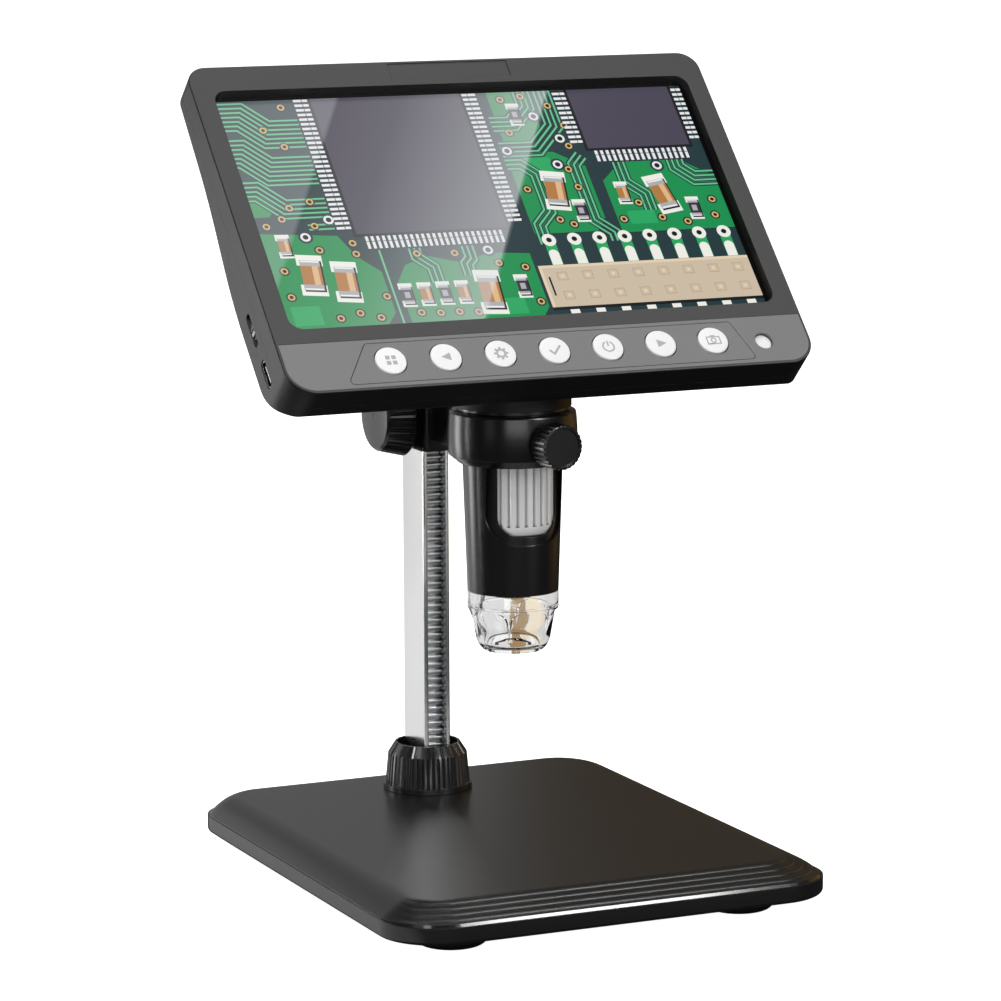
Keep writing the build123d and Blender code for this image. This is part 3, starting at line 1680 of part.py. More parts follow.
# ---------------------------------------------------------------- write one STEP file per sub-part
sub_parts = {
    "rubber_feet": rubber_feet,
    "base_tray": base_tray,
    "base_screws": base_screws,
    "ballast_plate": ballast_plate,
    "base_cover": base_cover,
    "column_socket": column_socket,
    "socket_screws": socket_screws,
    "column_bolt": column_bolt,
    "collar_nut": collar_nut,
    "column": column,
    "column_cap": column_cap,
    "rack": rack,
    "pinion_shaft": pinion_shaft,
    "height_knob_left": height_knob_left,
    "height_knob_right": height_knob_right,
    "knob_screws": knob_screws,
    "shaft_washers": shaft_washers,
    "carriage_body": carriage_body,
    "slide_liners": slide_liners,
    "sleeve_plate": sleeve_plate,
    "sleeve_screws": sleeve_screws,
    "clamp_knob": clamp_knob,
    "clamp_screw": clamp_screw,
    "barrel_shell": barrel_shell,
    "barrel_screws": barrel_screws,
    "focus_wheel": focus_wheel,
    "wheel_spacer": wheel_spacer,
    "lens_cell": lens_cell,
    "lens_elements": lens_elements,
    "camera_board": camera_board,
    "image_sensor": image_sensor,
    "led_board": led_board,
    "ring_leds": ring_leds,
    "clear_tip": clear_tip,
    "front_bezel": front_bezel,
    "control_strip": control_strip,
    "button_panel": button_panel,
    "button_board": button_board,
    "tact_switches": tact_switches,
    "indicator_lens": indicator_lens,
    "lcd_panel": lcd_panel,
    "lcd_backlight": lcd_backlight,
    "battery_pack": battery_pack,
    "main_board": main_board,
    "usb_port": usb_port,
    "card_socket": card_socket,
    "dimmer_wheel": dimmer_wheel,
    "flex_cable": flex_cable,
    "rear_shell": rear_shell,
    "case_screws": case_screws,
    **buttons,
}
for part_name, sub_part in sub_parts.items():
    sub_part.part.label = part_name
    export_step(sub_part.part, f"parts/{part_name}.step")
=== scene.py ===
# %% [markdown]
# # Dressing an LCD digital microscope
# The construction of the microscope is finished: its pieces have their real sizes, and its joints
# move. This lesson dresses it. The shapes that were right stay as they are and get a finish. The
# shapes that a solid modeller draws stiffly, such as the softly terraced base, are made again as
# meshes. The picture on the screen is drawn from small flat shapes.

# %% Load the construction
import json
from math import cos, pi, radians, sin

import bmesh
import bpy
from mathutils import Matrix, Vector


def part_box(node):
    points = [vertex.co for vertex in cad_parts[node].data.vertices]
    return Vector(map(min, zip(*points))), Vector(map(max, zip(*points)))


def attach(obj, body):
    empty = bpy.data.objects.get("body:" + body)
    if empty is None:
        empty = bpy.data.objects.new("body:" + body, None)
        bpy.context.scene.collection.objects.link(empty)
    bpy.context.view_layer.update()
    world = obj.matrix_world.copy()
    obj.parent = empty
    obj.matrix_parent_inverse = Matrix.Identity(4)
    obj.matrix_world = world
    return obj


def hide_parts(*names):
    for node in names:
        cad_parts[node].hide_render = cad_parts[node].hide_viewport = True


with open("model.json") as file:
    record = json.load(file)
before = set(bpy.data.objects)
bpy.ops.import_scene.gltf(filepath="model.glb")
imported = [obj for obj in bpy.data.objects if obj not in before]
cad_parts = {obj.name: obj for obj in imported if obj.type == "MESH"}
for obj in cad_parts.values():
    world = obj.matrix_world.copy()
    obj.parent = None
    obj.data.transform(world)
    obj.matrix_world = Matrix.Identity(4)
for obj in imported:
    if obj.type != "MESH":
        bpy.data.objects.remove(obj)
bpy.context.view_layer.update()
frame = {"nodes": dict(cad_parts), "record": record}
nodes = frame["nodes"]
MM = 0.001

# %% [markdown]
# ## Two small helpers
# Colours are written as on a paint card, in sRGB hex, but shaders mix light, which is linear. One
# function turns one into the other. A second adds a shader or geometry node with its settings and
# its links, so that a finish reads as a short list from the pattern to the output.


# %% Colours and nodes
def linear(code):
    """An sRGB hex colour as linear red, green, blue and alpha."""
    values = [int(code[i : i + 2], 16) / 255 for i in (1, 3, 5)]
    return [v / 12.92 if v <= 0.04045 else ((v + 0.055) / 1.055) ** 2.4 for v in values] + [1.0]


def add_node(tree, kind, inputs=None, **settings):
    """Adds a node. Its inputs take plain values, or the sockets that feed them."""
    node = tree.nodes.new(kind)
    for name, value in settings.items():
        setattr(node, name, value)
    for name, value in (inputs or {}).items():
        if isinstance(value, bpy.types.NodeSocket):
            tree.links.new(value, node.inputs[name])
        else:
            node.inputs[name].default_value = value
    return node


# %% [markdown]
# ## Camera
# The camera stands to the left of the microscope and a little above the screen, more than a metre
# away, with a long lens. The long lens keeps the sides of the screen almost parallel. Its place and
# its three angles are given, and the matrix is built from them, because a camera that is aimed with
# a constraint can't be rolled by a fraction of a degree.

# %% Camera
camera_place = Vector((-523.76, -1147.23, 324.89)) * MM
camera_azimuth = radians(-24.48)
camera_pitch = radians(9.40)
camera_roll = radians(-0.23)
camera_lens = 152.63

X, Y, Z = Vector((1, 0, 0)), Vector((0, 1, 0)), Vector((0, 0, 1))
level = Vector((cos(camera_azimuth), sin(camera_azimuth), 0))
ahead = Z.cross(level)
look = ahead * cos(camera_pitch) - Z * sin(camera_pitch)
upright = level.cross(look)
right = cos(camera_roll) * level + sin(camera_roll) * upright
above = cos(camera_roll) * upright - sin(camera_roll) * level

camera = bpy.data.objects.new("camera", bpy.data.cameras.new("camera"))
camera.data.lens = camera_lens
camera.data.sensor_width = 36
camera.data.clip_end = 100
turned = Matrix((right, above, -look)).transposed().to_4x4()
camera.matrix_world = Matrix.Translation(camera_place) @ turned
bpy.context.scene.collection.objects.link(camera)
bpy.context.scene.camera = camera
bpy.context.scene.view_settings.view_transform = "Standard"
print("camera looks along", [round(v, 3) for v in look])

# %% [markdown]
# ## Studio
# The camera sees a plain white room with a white floor, lit by four large soft lamps that give
# about the light at which a colour shows as it is written. Black plastic and plated parts get
# their shape from what they mirror. A light path node tells a mirrored ray from the others, so
# reflections see a dim room and a dark floor, with cards in it: bright ones for the highlights and
# dark ones for the black between them. Four more cards are seen only through the clear tip.


# %% Room
def new_material(name):
    """An empty material with its node tree."""
    material = bpy.data.materials.new(name)
    material.use_nodes = True
    material.node_tree.nodes.clear()
    return material, material.node_tree


def surfaced(material, shader):
    """Ends a material with its surface shader."""
    add_node(material.node_tree, "ShaderNodeOutputMaterial", {"Surface": shader.outputs[0]})
    return material


def by_ray(tree, base, others):
    """A shader that changes with the kind of ray. A later row wins over an earlier one."""
    path = add_node(tree, "ShaderNodeLightPath")
    for ray, shader in others:
        mixed = {0: path.outputs[ray], 1: base.outputs[0], 2: shader.outputs[0]}
        base = add_node(tree, "ShaderNodeMixShader", mixed)
    return base


world = bpy.context.scene.world = bpy.data.worlds.new("studio")
world.use_nodes = True
tree = world.node_tree
tree.nodes.clear()
soft_light, white_wall, dim_room = (
    add_node(tree, "ShaderNodeBackground", {"Color": linear(colour), "Strength": strength})
    for colour, strength in (("#ffffff", 0.42), ("#ffffff", 1.0), ("#565656", 1.0))
)
seen_walls = (("Is Camera Ray", white_wall), ("Is Transmission Ray", white_wall))
room = by_ray(tree, soft_light, (("Is Glossy Ray", dim_room), *seen_walls))
add_node(tree, "ShaderNodeOutputWorld", {"Surface": room.outputs[0]})

floor_paint, tree = new_material("matt white studio floor")
paint, dull = (
    add_node(tree, "ShaderNodeBsdfDiffuse", {"Color": linear(colour)})
    for colour in ("#f4f4f4", "#1c1c1c")
)
dark, pale, lift = (
    add_node(tree, "ShaderNodeEmission", {"Color": linear(colour), "Strength": strength})
    for colour, strength in (("#303030", 1.0), ("#dedede", 1.0), ("#ffffff", 0.97))
)
lifted = add_node(tree, "ShaderNodeAddShader", {0: paint.outputs[0], 1: lift.outputs[0]})
floors = (("Is Camera Ray", lifted), ("Is Glossy Ray", dark), ("Is Transmission Ray", pale))
surfaced(floor_paint, by_ray(tree, dull, floors))


def flat_square(name, centre, across, upward, width, height, material):
    """A stage plane with its centre and its two directions given."""
    corners = [
        centre + across * (sx * width / 2) + upward * (sy * height / 2)
        for sx, sy in ((-1, -1), (1, -1), (1, 1), (-1, 1))
    ]
    mesh = bpy.data.meshes.new(name)
    mesh.from_pydata(corners, [], [(0, 1, 2, 3)])
    mesh.materials.append(material)
    plane = bpy.data.objects.new(name, mesh)
    bpy.context.scene.collection.objects.link(plane)
    return plane


floor_size = 40
flat_square("floor", Vector(), X, Y, floor_size, floor_size, floor_paint)


# %% Cards and lamps
def toward(turn, distance, height):
    """A place at a distance, some degrees to the left of the camera's line of sight."""
    t = radians(turn)
    return (ahead * cos(t) - level * sin(t)) * distance + Z * height


def glowing(name, colour, strength=1.0):
    """A material that only gives light."""
    material, tree = new_material(name)
    light = {"Color": linear(colour), "Strength": strength}
    return surfaced(material, add_node(tree, "ShaderNodeEmission", light))


def only_seen_by(plane, ray):
    """Hides a plane from the camera and from every kind of ray but one."""
    for kind in ("camera", "diffuse", "shadow", "glossy", "transmission"):
        setattr(plane, "visible_" + kind, kind == ray)


def card(name, colour, turn, distance, height, width, tall, strength=1.0, ray="glossy"):
    """An upright card that faces the object, for mirrors or for what shines through."""
    centre = toward(turn, distance, height)
    across = Z.cross(toward(turn, 1, 0))
    material = glowing(name, colour, strength)
    only_seen_by(flat_square(name, centre, across, Z, width, tall, material), ray)


def lamp(name, place, size, size_y, power):
    """A soft rectangular lamp aimed at the middle of the microscope."""
    target = Vector((0, 0, 0.12))
    data = bpy.data.lights.new(name, "AREA")
    data.shape, data.size, data.size_y, data.energy = "RECTANGLE", size, size_y, power
    light = bpy.data.objects.new(name, data)
    light.location = place
    light.rotation_euler = (target - place).to_track_quat("-Z", "Y").to_euler()
    bpy.context.scene.collection.objects.link(light)


card("grey wall behind", "#a8a8a8", 20.5, 1.0, 0.4, 0.74, 1.0)
card("warm wall behind on the right", "#625443", -21, 1.0, 0.4, 0.74, 1.0)
card("light wall on the left", "#e4e4e4", 46, 0.5, 0.12, 0.22, 0.28)
card("bright wall on the left", "#ffffff", 68, 0.5, 0.12, 0.12, 0.28, 7.0)
card("bright strip on the left", "#ffffff", 94, 0.5, 0.12, 0.012, 0.28, 26.0)
card("dark wall on the left", "#1a1a1a", 85, 1.1, 0.5, 0.75, 1.6)
card("soft wall on the front left", "#ffffff", 140, 1.0, 0.5, 0.3, 1.2, 0.5)
card("dark wall on the front left", "#262626", 128, 1.5, 0.6, 1.4, 2.0)
card("dark wall behind the camera", "#202020", 180, 2.0, 0.6, 2.2, 2.4)
card("soft wall on the front right", "#ffffff", 229, 0.6, 0.09, 0.25, 0.18)
card("bright panel on the front right", "#ffffff", 229.6, 0.573, 0.44, 0.14, 0.26, 32.0)
card("golden wall on the right", "#b8904f", 298, 0.5, 0.3, 0.36, 0.6)
card("clear dark edge on the left", "#202020", 60, 0.6, 0.2, 0.3, 0.9, ray="transmission")
card("clear dark edge on the right", "#3a2f22", -56, 0.6, 0.2, 0.3, 0.9, ray="transmission")
card("clear brown strip", "#a58a63", -3.4, 0.09, 0.06, 0.0085, 0.12, ray="transmission")
card("clear cream strip", "#f3e6cd", -11.0, 0.09, 0.06, 0.014, 0.12, ray="transmission")
cloth = glowing("light cloth on the floor", "#f0f0f0")
away = toward(49, 1, 0)
by_column = Vector((0, 0.06, 0.0005)) + away * 0.8
by_base = Vector((-0.112, 0.03, 0.0004))
for name, centre, across, along, width, length in (
    ("light cloth on the floor", by_column, away.cross(Z), away, 0.5, 1.4),
    ("light strip beside the base", by_base, X, Y, 0.076, 0.25),
):
    only_seen_by(flat_square(name, centre, across, along, width, length, cloth), "glossy")
lamp("key from the upper left", toward(150, 1.7, 1.8), 1.2, 1.2, 20)
lamp("fill from the right", toward(238, 1.5, 1.0), 1.0, 1.2, 4)
lamp("top light", Vector((0.25, -0.05, 1.8)), 1.2, 0.9, 8)
lamp("low front light", toward(188, 1.3, 0.22), 0.9, 0.3, 3.2)
print("floor, world, cards and four lamps")

# %% [markdown]
# ## Where the screen stands
# The screen housing leans back. Its face plane is read from the display panel itself: the largest
# triangle of the panel that points up lies in the glass. From that plane come three directions,
# across, up the slope and out, and every picture or icon is placed with them.

# %% Face plane
panel_faces = nodes["lcd_panel"].data.polygons
glass = max((p for p in panel_faces if p.normal.z > 0.1), key=lambda p: p.area)
face_out = glass.normal.copy()
face_up = face_out.cross(X).normalized()
panel_low, panel_high = (Vector(corner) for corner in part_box("lcd_panel"))
panel_middle = (panel_low + panel_high) / 2
glass_middle = panel_middle + face_out * (glass.center - panel_middle).dot(face_out)
print("the face leans back", round(90 - face_out.angle(Z) * 180 / pi, 2), "degrees from level")


# %% [markdown]
# ## Finishes
# Nearly everything here is moulded plastic. A mould leaves a fine even grain, which breaks up
# highlights, and its edges are never sharp, so the light catches them. One function makes every
# moulded finish from its colour, roughness and grain. The metals, the clear acrylic and the
# picture have functions of their own.


# %% Moulded plastics
def worn_surface(tree, pattern, roughness, swing, depth, height, edge):
    """Gloss and relief that follow one pattern, on edges that are rounded by edge mm."""
    gloss = add_node(
        tree,
        "ShaderNodeMapRange",
        {"Value": pattern, "To Min": roughness - swing, "To Max": roughness + swing},
    )
    rounded = add_node(tree, "ShaderNodeBevel", {"Radius": edge * MM}, samples=4).outputs[0]
    relief = {"Height": pattern, "Strength": depth, "Distance": height, "Normal": rounded}
    bump = add_node(tree, "ShaderNodeBump", relief)
    return {"Roughness": gloss.outputs["Result"], "Normal": bump.outputs[0]}


grain_height, tone_swing, gloss_swing = 0.05 * MM, 0.07, 0.02
flow_scale = 18.0
# Painted side shade: how far a wall may turn from the face before it is fully shaded.
full_side_shade_below, no_side_shade_above = 0.72, 0.97


def moulded_plastic(
    name, colour, roughness, shine=0.5, grain=0.25, depth=0.12, edge=0.25, sides=None
):
    """Injection moulded ABS or similar. grain is the texture's size in mm, edge the edge round.

    The grain of a real mould is 0.03 to 0.1 mm. It is drawn coarser, as it would not show.
    sides is painted shade: a darker colour for the walls that don't face the user."""
    material, tree = new_material(name)
    coordinates = add_node(tree, "ShaderNodeTexCoord").outputs
    place = coordinates["Object"]
    pits = add_node(
        tree,
        "ShaderNodeTexNoise",
        {"Vector": place, "Scale": 1 / (grain * MM), "Detail": 2.0, "Roughness": 0.6},
    )
    flow = add_node(
        tree, "ShaderNodeTexNoise", {"Vector": place, "Scale": flow_scale, "Detail": 3.0}
    )
    tone = add_node(
        tree,
        "ShaderNodeMixRGB",
        {
            "Fac": flow.outputs["Fac"],
            "Color1": [v * (1 - tone_swing) for v in linear(colour)[:3]] + [1],
            "Color2": [v * (1 + tone_swing) for v in linear(colour)[:3]] + [1],
        },
    )
    colour_out = tone.outputs["Color"]
    # Painted shade: walls that turn away from the face blend into the darker sides colour.
    if sides:
        facing = add_node(
            tree,
            "ShaderNodeVectorMath",
            {0: coordinates["Normal"], 1: tuple(face_out)},
            operation="DOT_PRODUCT",
        )
        front = add_node(
            tree,
            "ShaderNodeMapRange",
            {"Value": facing.outputs["Value"], "From Min": full_side_shade_below, "From Max": no_side_shade_above},
        )
        both = add_node(
            tree,
            "ShaderNodeMixRGB",
            {"Fac": front.outputs["Result"], "Color1": linear(sides), "Color2": colour_out},
        )
        colour_out = both.outputs["Color"]
    worn = worn_surface(
        tree, pits.outputs["Fac"], roughness, gloss_swing, depth, grain_height, edge
    )
    skin = add_node(
        tree,
        "ShaderNodeBsdfPrincipled",
        {"Base Color": colour_out, "Specular IOR Level": shine, **worn},
    )
    return surfaced(material, skin)


plastics = {
    "base_plastic": ("satin black ABS of the base", "#1c1c1c", 0.3, 0.45, 0.3, 0.02, 0.12),
    "polished_lip": ("ABS polished where the mould closes", "#1c1c1c", 0.13, 0.5, 0.3, 0.01, 0.05),
    "black_plastic": ("satin black ABS", "#191919", 0.24, 0.45, 0.3, 0.02),
    # The housing's last colour is painted shade for its walls that don't face the user.
    "housing_plastic": (
        "fine textured dark grey ABS", "#484848", 0.5, 0.25, 0.25, 0.2, 0.25, "#161616"
    ),
    "strip_plastic": ("spark textured mid grey ABS", "#7c7c7c", 0.6, 0.25, 0.35, 0.5, 0.15),
    "white_plastic": ("satin white ABS", "#f2f2f2", 0.35, 0.4, 0.3, 0.03, 0.2),
    "liner_plastic": ("natural acetal", "#dcdad2", 0.4),
    "foot_rubber": ("nitrile rubber", "#141414", 0.75, 0.2, 0.4, 0.3, 0.5),
    "black_metal": ("satin black powder coat", "#161616", 0.45, 0.4, 0.3, 0.2),
    "circuit_board": ("green solder mask on fibreglass", "#0f5a34", 0.35, 0.5, 0.5, 0.05),
    "component_black": ("moulded epoxy packages", "#1b1b1c", 0.55),
    "led_resin": ("yellow phosphor resin", "#e6d88a", 0.3, 0.5, 0.4, 0.02),
    "backlight_plastic": ("white diffuser film", "#e4e4e4", 0.5),
    "lens_black": ("matt black acetal", "#121212", 0.7),
    "screen_glass": ("black glass border of the display", "#060606", 0.12, 0.5, 1.0, 0.0),
}
finishes = {slot: moulded_plastic(*settings) for slot, settings in plastics.items()}
print(len(finishes), "plastics and rubbers")


# %% [markdown]
# ### Metals
# The column is an anodised aluminium extrusion: drawn through a die, it has faint lines along its
# length. The rack is milled steel and the screws are zinc plated. These are fully metallic and
# differ in tint, roughness and grain. The focus wheel is plastic with a satin silver skin, which
# looks almost white, so it is drawn with only a trace of metal. Little light comes back out from
# between the ribs of the wheel and the teeth of the rack, so their hollows get painted shade: an
# ambient occlusion node darkens them.


# %% Metals
line_height, line_stretch, line_gloss_swing = 0.02 * MM, 0.01, 0.2
# Painted shade: the colour towards which the hollows of the wheel and the rack are darkened.
hollow_reach, painted_hollow_shade = 0.9 * MM, "#141414"


def bare_metal(
    name, colour, roughness, lines=0.0, line_pitch=0.25, edge=0.15, metallic=1.0, hollow_shade_strength=0.0
):
    """Metal with drawing lines along Z. lines is their depth and line_pitch their spacing in mm.

    The last argument is how strongly the hollows are darkened, as painted shade."""
    material, tree = new_material(name)
    place = add_node(tree, "ShaderNodeTexCoord").outputs["Object"]
    drawn = add_node(tree, "ShaderNodeMapping", {"Vector": place, "Scale": (1, 1, line_stretch)})
    streaks = add_node(
        tree,
        "ShaderNodeTexNoise",
        {"Vector": drawn.outputs[0], "Scale": 1 / (line_pitch * MM), "Detail": 3.0},
    )
    swing = roughness * line_gloss_swing
    worn = worn_surface(tree, streaks.outputs["Fac"], roughness, swing, lines, line_height, edge)
    # Painted shade: an ambient occlusion node darkens the hollows, where little light comes back
    # out.
    hollows = add_node(tree, "ShaderNodeAmbientOcclusion", {"Distance": hollow_reach}, samples=6)
    closed_in = {0: hollows.outputs["AO"], 1: hollow_shade_strength}
    deep = add_node(tree, "ShaderNodeMath", closed_in, operation="POWER")
    tint = add_node(
        tree,
        "ShaderNodeMixRGB",
        {"Fac": deep.outputs[0], "Color1": linear(painted_hollow_shade), "Color2": linear(colour)},
    )
    skin = add_node(
        tree,
        "ShaderNodeBsdfPrincipled",
        {"Base Color": tint.outputs["Color"], "Metallic": metallic, **worn},
    )
    return surfaced(material, skin)


# The last number of the rack and of the wheel is the strength of their painted hollow shade.
metals = {
    "column_aluminium": ("anodised aluminium extrusion", "#e6e6e6", 0.2, 0.15, 0.25, 0.8),
    "rack_steel": ("milled steel", "#d2d4d6", 0.3, 0.3, 0.25, 0.12, 1.0, 1.6),
    "screw_steel": ("zinc plated steel", "#b4b4b0", 0.35, 0.1),
    "ballast_steel": ("galvanised sheet steel", "#8f9295", 0.5, 0.2, 2.0),
    "plated_steel": ("nickel plated steel", "#8c8c8a", 0.25),
    "cell_foil": ("aluminium pouch foil", "#a8a8aa", 0.4, 0.3, 1.0),
    "focus_plating": ("satin silver plated ABS", "#ffffff", 0.2, 0.0, 0.25, 0.15, 0.06, 2.4),
}
finishes.update({slot: bare_metal(*settings) for slot, settings in metals.items()})
print(len(metals), "metals")

# %% [markdown]
# ### Clear parts
# The tip is polished acrylic. Light bends at both of its faces, so it draws bright and dark
# outlines of the room. The lenses are glass with a faint coating. Both are fully transmissive
# and smooth, and differ in refractive index and tint.


# %% Clear parts
wave_scale, wave_depth, wave_height = 180.0, 0.06, 0.2 * MM


def clear_solid(name, colour, refraction, roughness):
    """A clear solid whose only marks are faint moulding waves, about 6 mm long."""
    material, tree = new_material(name)
    place = add_node(tree, "ShaderNodeTexCoord").outputs["Object"]
    waves = add_node(
        tree, "ShaderNodeTexNoise", {"Vector": place, "Scale": wave_scale, "Detail": 1.0}
    )
    bump = add_node(
        tree,
        "ShaderNodeBump",
        {"Height": waves.outputs["Fac"], "Strength": wave_depth, "Distance": wave_height},
    )
    skin = add_node(
        tree,
        "ShaderNodeBsdfPrincipled",
        {
            "Base Color": linear(colour),
            "Roughness": roughness,
            "IOR": refraction,
            "Transmission Weight": 1.0,
            "Normal": bump.outputs[0],
        },
    )
    return surfaced(material, skin)


finishes["clear_acrylic"] = clear_solid("polished clear acrylic", "#ffffff", 1.49, 0.01)
finishes["optical_glass"] = clear_solid("coated optical glass", "#e4f0f6", 1.52, 0.0)
print(len(finishes), "finishes")

# %% [markdown]
# ## Smooth shading for the construction
# The construction's meshes are loose triangles. A small Geometry Nodes tree joins them for display
# and shades them smoothly, and keeps an edge crisp where two faces meet at a clear angle. It is a
# live modifier, so the mesh itself is untouched.


# %% Smooth shading
def modifier_tree(name, inputs):
    """A Geometry Nodes tree, the identifiers of its named inputs, and its input node."""
    tree = bpy.data.node_groups.new(name, "GeometryNodeTree")
    tree.is_modifier = True
    tree.interface.new_socket("Geometry", in_out="INPUT", socket_type="NodeSocketGeometry")
    identifiers = {
        label: tree.interface.new_socket(label, in_out="INPUT", socket_type=kind).identifier
        for label, kind in inputs.items()
    }
    tree.interface.new_socket("Geometry", in_out="OUTPUT", socket_type="NodeSocketGeometry")
    return tree, identifiers, add_node(tree, "NodeGroupInput")


crease, crease_inputs, way_in = modifier_tree(
    "smooth with crisp edges", {"Crisp angle": "NodeSocketFloat"}
)
joined = add_node(
    crease,
    "GeometryNodeMergeByDistance",
    {"Geometry": way_in.outputs["Geometry"], "Distance": 0.0005 * MM},
)
bend = add_node(crease, "GeometryNodeInputMeshEdgeAngle")
crisp = add_node(
    crease,
    "FunctionNodeCompare",
    {0: bend.outputs["Unsigned Angle"], 1: way_in.outputs["Crisp angle"]},
    operation="LESS_THAN",
    data_type="FLOAT",
)
shaded = joined
for domain, value in (("FACE", True), ("EDGE", crisp.outputs[0])):
    inputs = {"Geometry": shaded.outputs[0], "Shade Smooth": value}
    shaded = add_node(crease, "GeometryNodeSetShadeSmooth", inputs, domain=domain)
add_node(crease, "NodeGroupOutput", {"Geometry": shaded.outputs[0]})


def smooth(piece, angle=28):
    """Shades a piece smoothly, except across edges that bend by more than an angle in degrees."""
    modifier = piece.modifiers.new("smooth", "NODES")
    modifier.node_group = crease
    modifier[crease_inputs["Crisp angle"]] = radians(angle)


slot_of = {row["node"]: row["material_slot"] for row in frame["record"]["subparts"]}
for name, piece in nodes.items():
    piece.data.materials.clear()
    piece.data.materials.append(finishes[slot_of[name]])
    smooth(piece)
print("finished", len(nodes), "pieces of the construction")

# %% [markdown]
# ## Pieces from a list of points
# The pieces that are drawn here come from lists of points and faces. One function turns such lists
# into an object that rides on a body.


# %% New pieces
def new_piece(name, points, faces, materials, body, face_materials=None):
    """A mesh piece in the object's own frame, which rides on a body."""
    mesh = bpy.data.meshes.new(name)
    mesh.from_pydata(points, [], faces)
    for material in materials:
        mesh.materials.append(material)
    if face_materials:
        mesh.polygons.foreach_set("material_index", face_materials)
    mesh.validate()
    piece = bpy.data.objects.new(name, mesh)
    bpy.context.scene.collection.objects.link(piece)
    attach(piece, body)
    return piece


# %% [markdown]
# ## The top of the base
# The cover of the base is one soft moulding. Its sides rise in a long even curve, and the front
# falls in five low terraces that run round the front corners and fade into the sides. The lowest
# begins with a steep lip, polished where the mould closes, which catches the light as one bright
# line. It is built as a stack of rounded outlines, each further in and higher than the one before.
# The front and the sides have their own height curves, and each point blends the two by the
# direction in which its outline faces. This way the terraces fade as they do on the moulding.


# %% Base crown
base_half_width, base_half_depth = 141.3 / 2, 170.5 / 2
seam_height, crown_rise, seam_inset = 10.4, 4.9, 0.6
side_slope, back_slope, terrace_pitch, terraces = 11.5, 6.0, 2.63, 5
lip_run, lip_round, lip_share, lip_rings = 0.434, 0.7, 0.86, 6
outline_corner, corner_shrink, corner_steps = 18.0, 0.75, 18
side_curve, fade_start, fade_span = 2.1, 0.12, 0.7
pocket_side, pocket_front, pocket_corner, pocket_top = 7.4, 14.0, 12.0, 12.8
column_hole, column_hole_y, hole_steps = 10.9, 59.8, 48


def outline_points(side, front, back, corner):
    """A rounded outline of the base, set in by its own amount on each side.

    The third number of each point says how much the outline faces back there, from -1 to 1."""
    points = []
    x, y_front, y_back = base_half_width - side, front - base_half_depth, base_half_depth - back
    for cx, cy, start in (
        (x - corner, y_back - corner, 0),
        (corner - x, y_back - corner, 90),
        (corner - x, y_front + corner, 180),
        (x - corner, y_front + corner, 270),
    ):
        for i in range(corner_steps + 1):
            t = radians(start + 90 * i / corner_steps)
            points.append((cx + corner * cos(t), cy + corner * sin(t), sin(t)))
    return points


def eased(value):
    """0 to 1 with a soft start and end."""
    value = min(1.0, max(0.0, value))
    return value * value * (3 - 2 * value)


def terrace_height(inset):
    """Height of the front above the seam: a steep lip, then four round steps."""
    along = (inset - seam_inset) / terrace_pitch
    step = min(int(along), terraces - 1)
    part = (along - step) * terrace_pitch
    if step == 0:
        lip = min(part / lip_run, 1.0)
        round_off = min(max((part - lip_run) / lip_round, 0.0), 1.0)
        share = lip_share * lip + (1 - lip_share) * (1 - (1 - round_off) ** 2)
    else:
        share = (1 - (1 - part / terrace_pitch) ** 2) ** 0.5
    return crown_rise * (step + share) / terraces


mesh_form = bmesh.new()


def new_loop(points):
    """New vertices at points in mm."""
    return [mesh_form.verts.new(Vector(p) * MM) for p in points]


def joined_wall(lower, upper):
    """A wall between two loops of as many vertices."""
    for i in range(len(lower)):
        j = (i + 1) % len(lower)
        mesh_form.faces.new((lower[i], lower[j], upper[j], upper[i]))


def loop_edges(verts):
    """The edges round a loop of vertices."""
    return [mesh_form.edges.get((verts[i - 1], verts[i])) for i in range(len(verts))]


def hole_points(height):
    """A circle round the column's axis."""
    turns = [2 * pi * i / hole_steps for i in range(hole_steps)]
    return [(column_hole * cos(t), column_hole_y + column_hole * sin(t), height) for t in turns]


# The rings within each terrace, closest where it rises.
fractions = (0.0, 0.01, 0.03, 0.07, 0.13, 0.165, 0.2, 0.28, 0.36, 0.44, 0.52, 0.7, 0.88)
insets = [seam_inset + terrace_pitch * (k + f) for k in range(terraces) for f in fractions]
insets.append(seam_inset + terrace_pitch * terraces)
loops = []
for inset in insets:
    share = (inset - seam_inset) / (terrace_pitch * terraces)
    side = seam_inset + (side_slope - seam_inset) * share
    back = seam_inset + (back_slope - seam_inset) * share
    smooth_rise = crown_rise * (1 - (1 - share) ** side_curve)
    ring_points = []
    corner = outline_corner - side * corner_shrink
    for x, y, faces_back in outline_points(side, inset, back, corner):
        frontness = eased((-faces_back - fade_start) / fade_span)
        rise = frontness * terrace_height(inset) + (1 - frontness) * smooth_rise
        ring_points.append((x, y, seam_height + rise))
    loops.append(new_loop(ring_points))
for lower, upper in zip(loops, loops[1:]):
    joined_wall(lower, upper)
pocket = outline_points(pocket_side, pocket_front, pocket_side, pocket_corner)
pocket_low = new_loop([(x, y, seam_height) for x, y, _ in pocket])
pocket_high = new_loop([(x, y, pocket_top) for x, y, _ in pocket])
hole_high = new_loop(hole_points(seam_height + crown_rise))
hole_low = new_loop(hole_points(pocket_top))
joined_wall(pocket_low, pocket_high)
joined_wall(hole_low, hole_high)
for outer, inner in ((loops[-1], hole_high), (loops[0], pocket_low), (pocket_high, hole_low)):
    edges = loop_edges(outer) + loop_edges(inner)
    bmesh.ops.triangle_fill(mesh_form, use_beauty=True, edges=edges)
bmesh.ops.recalc_face_normals(mesh_form, faces=mesh_form.faces)
if mesh_form.calc_volume(signed=True) < 0:
    bmesh.ops.reverse_faces(mesh_form, faces=mesh_form.faces)
mesh_form.verts.index_update()
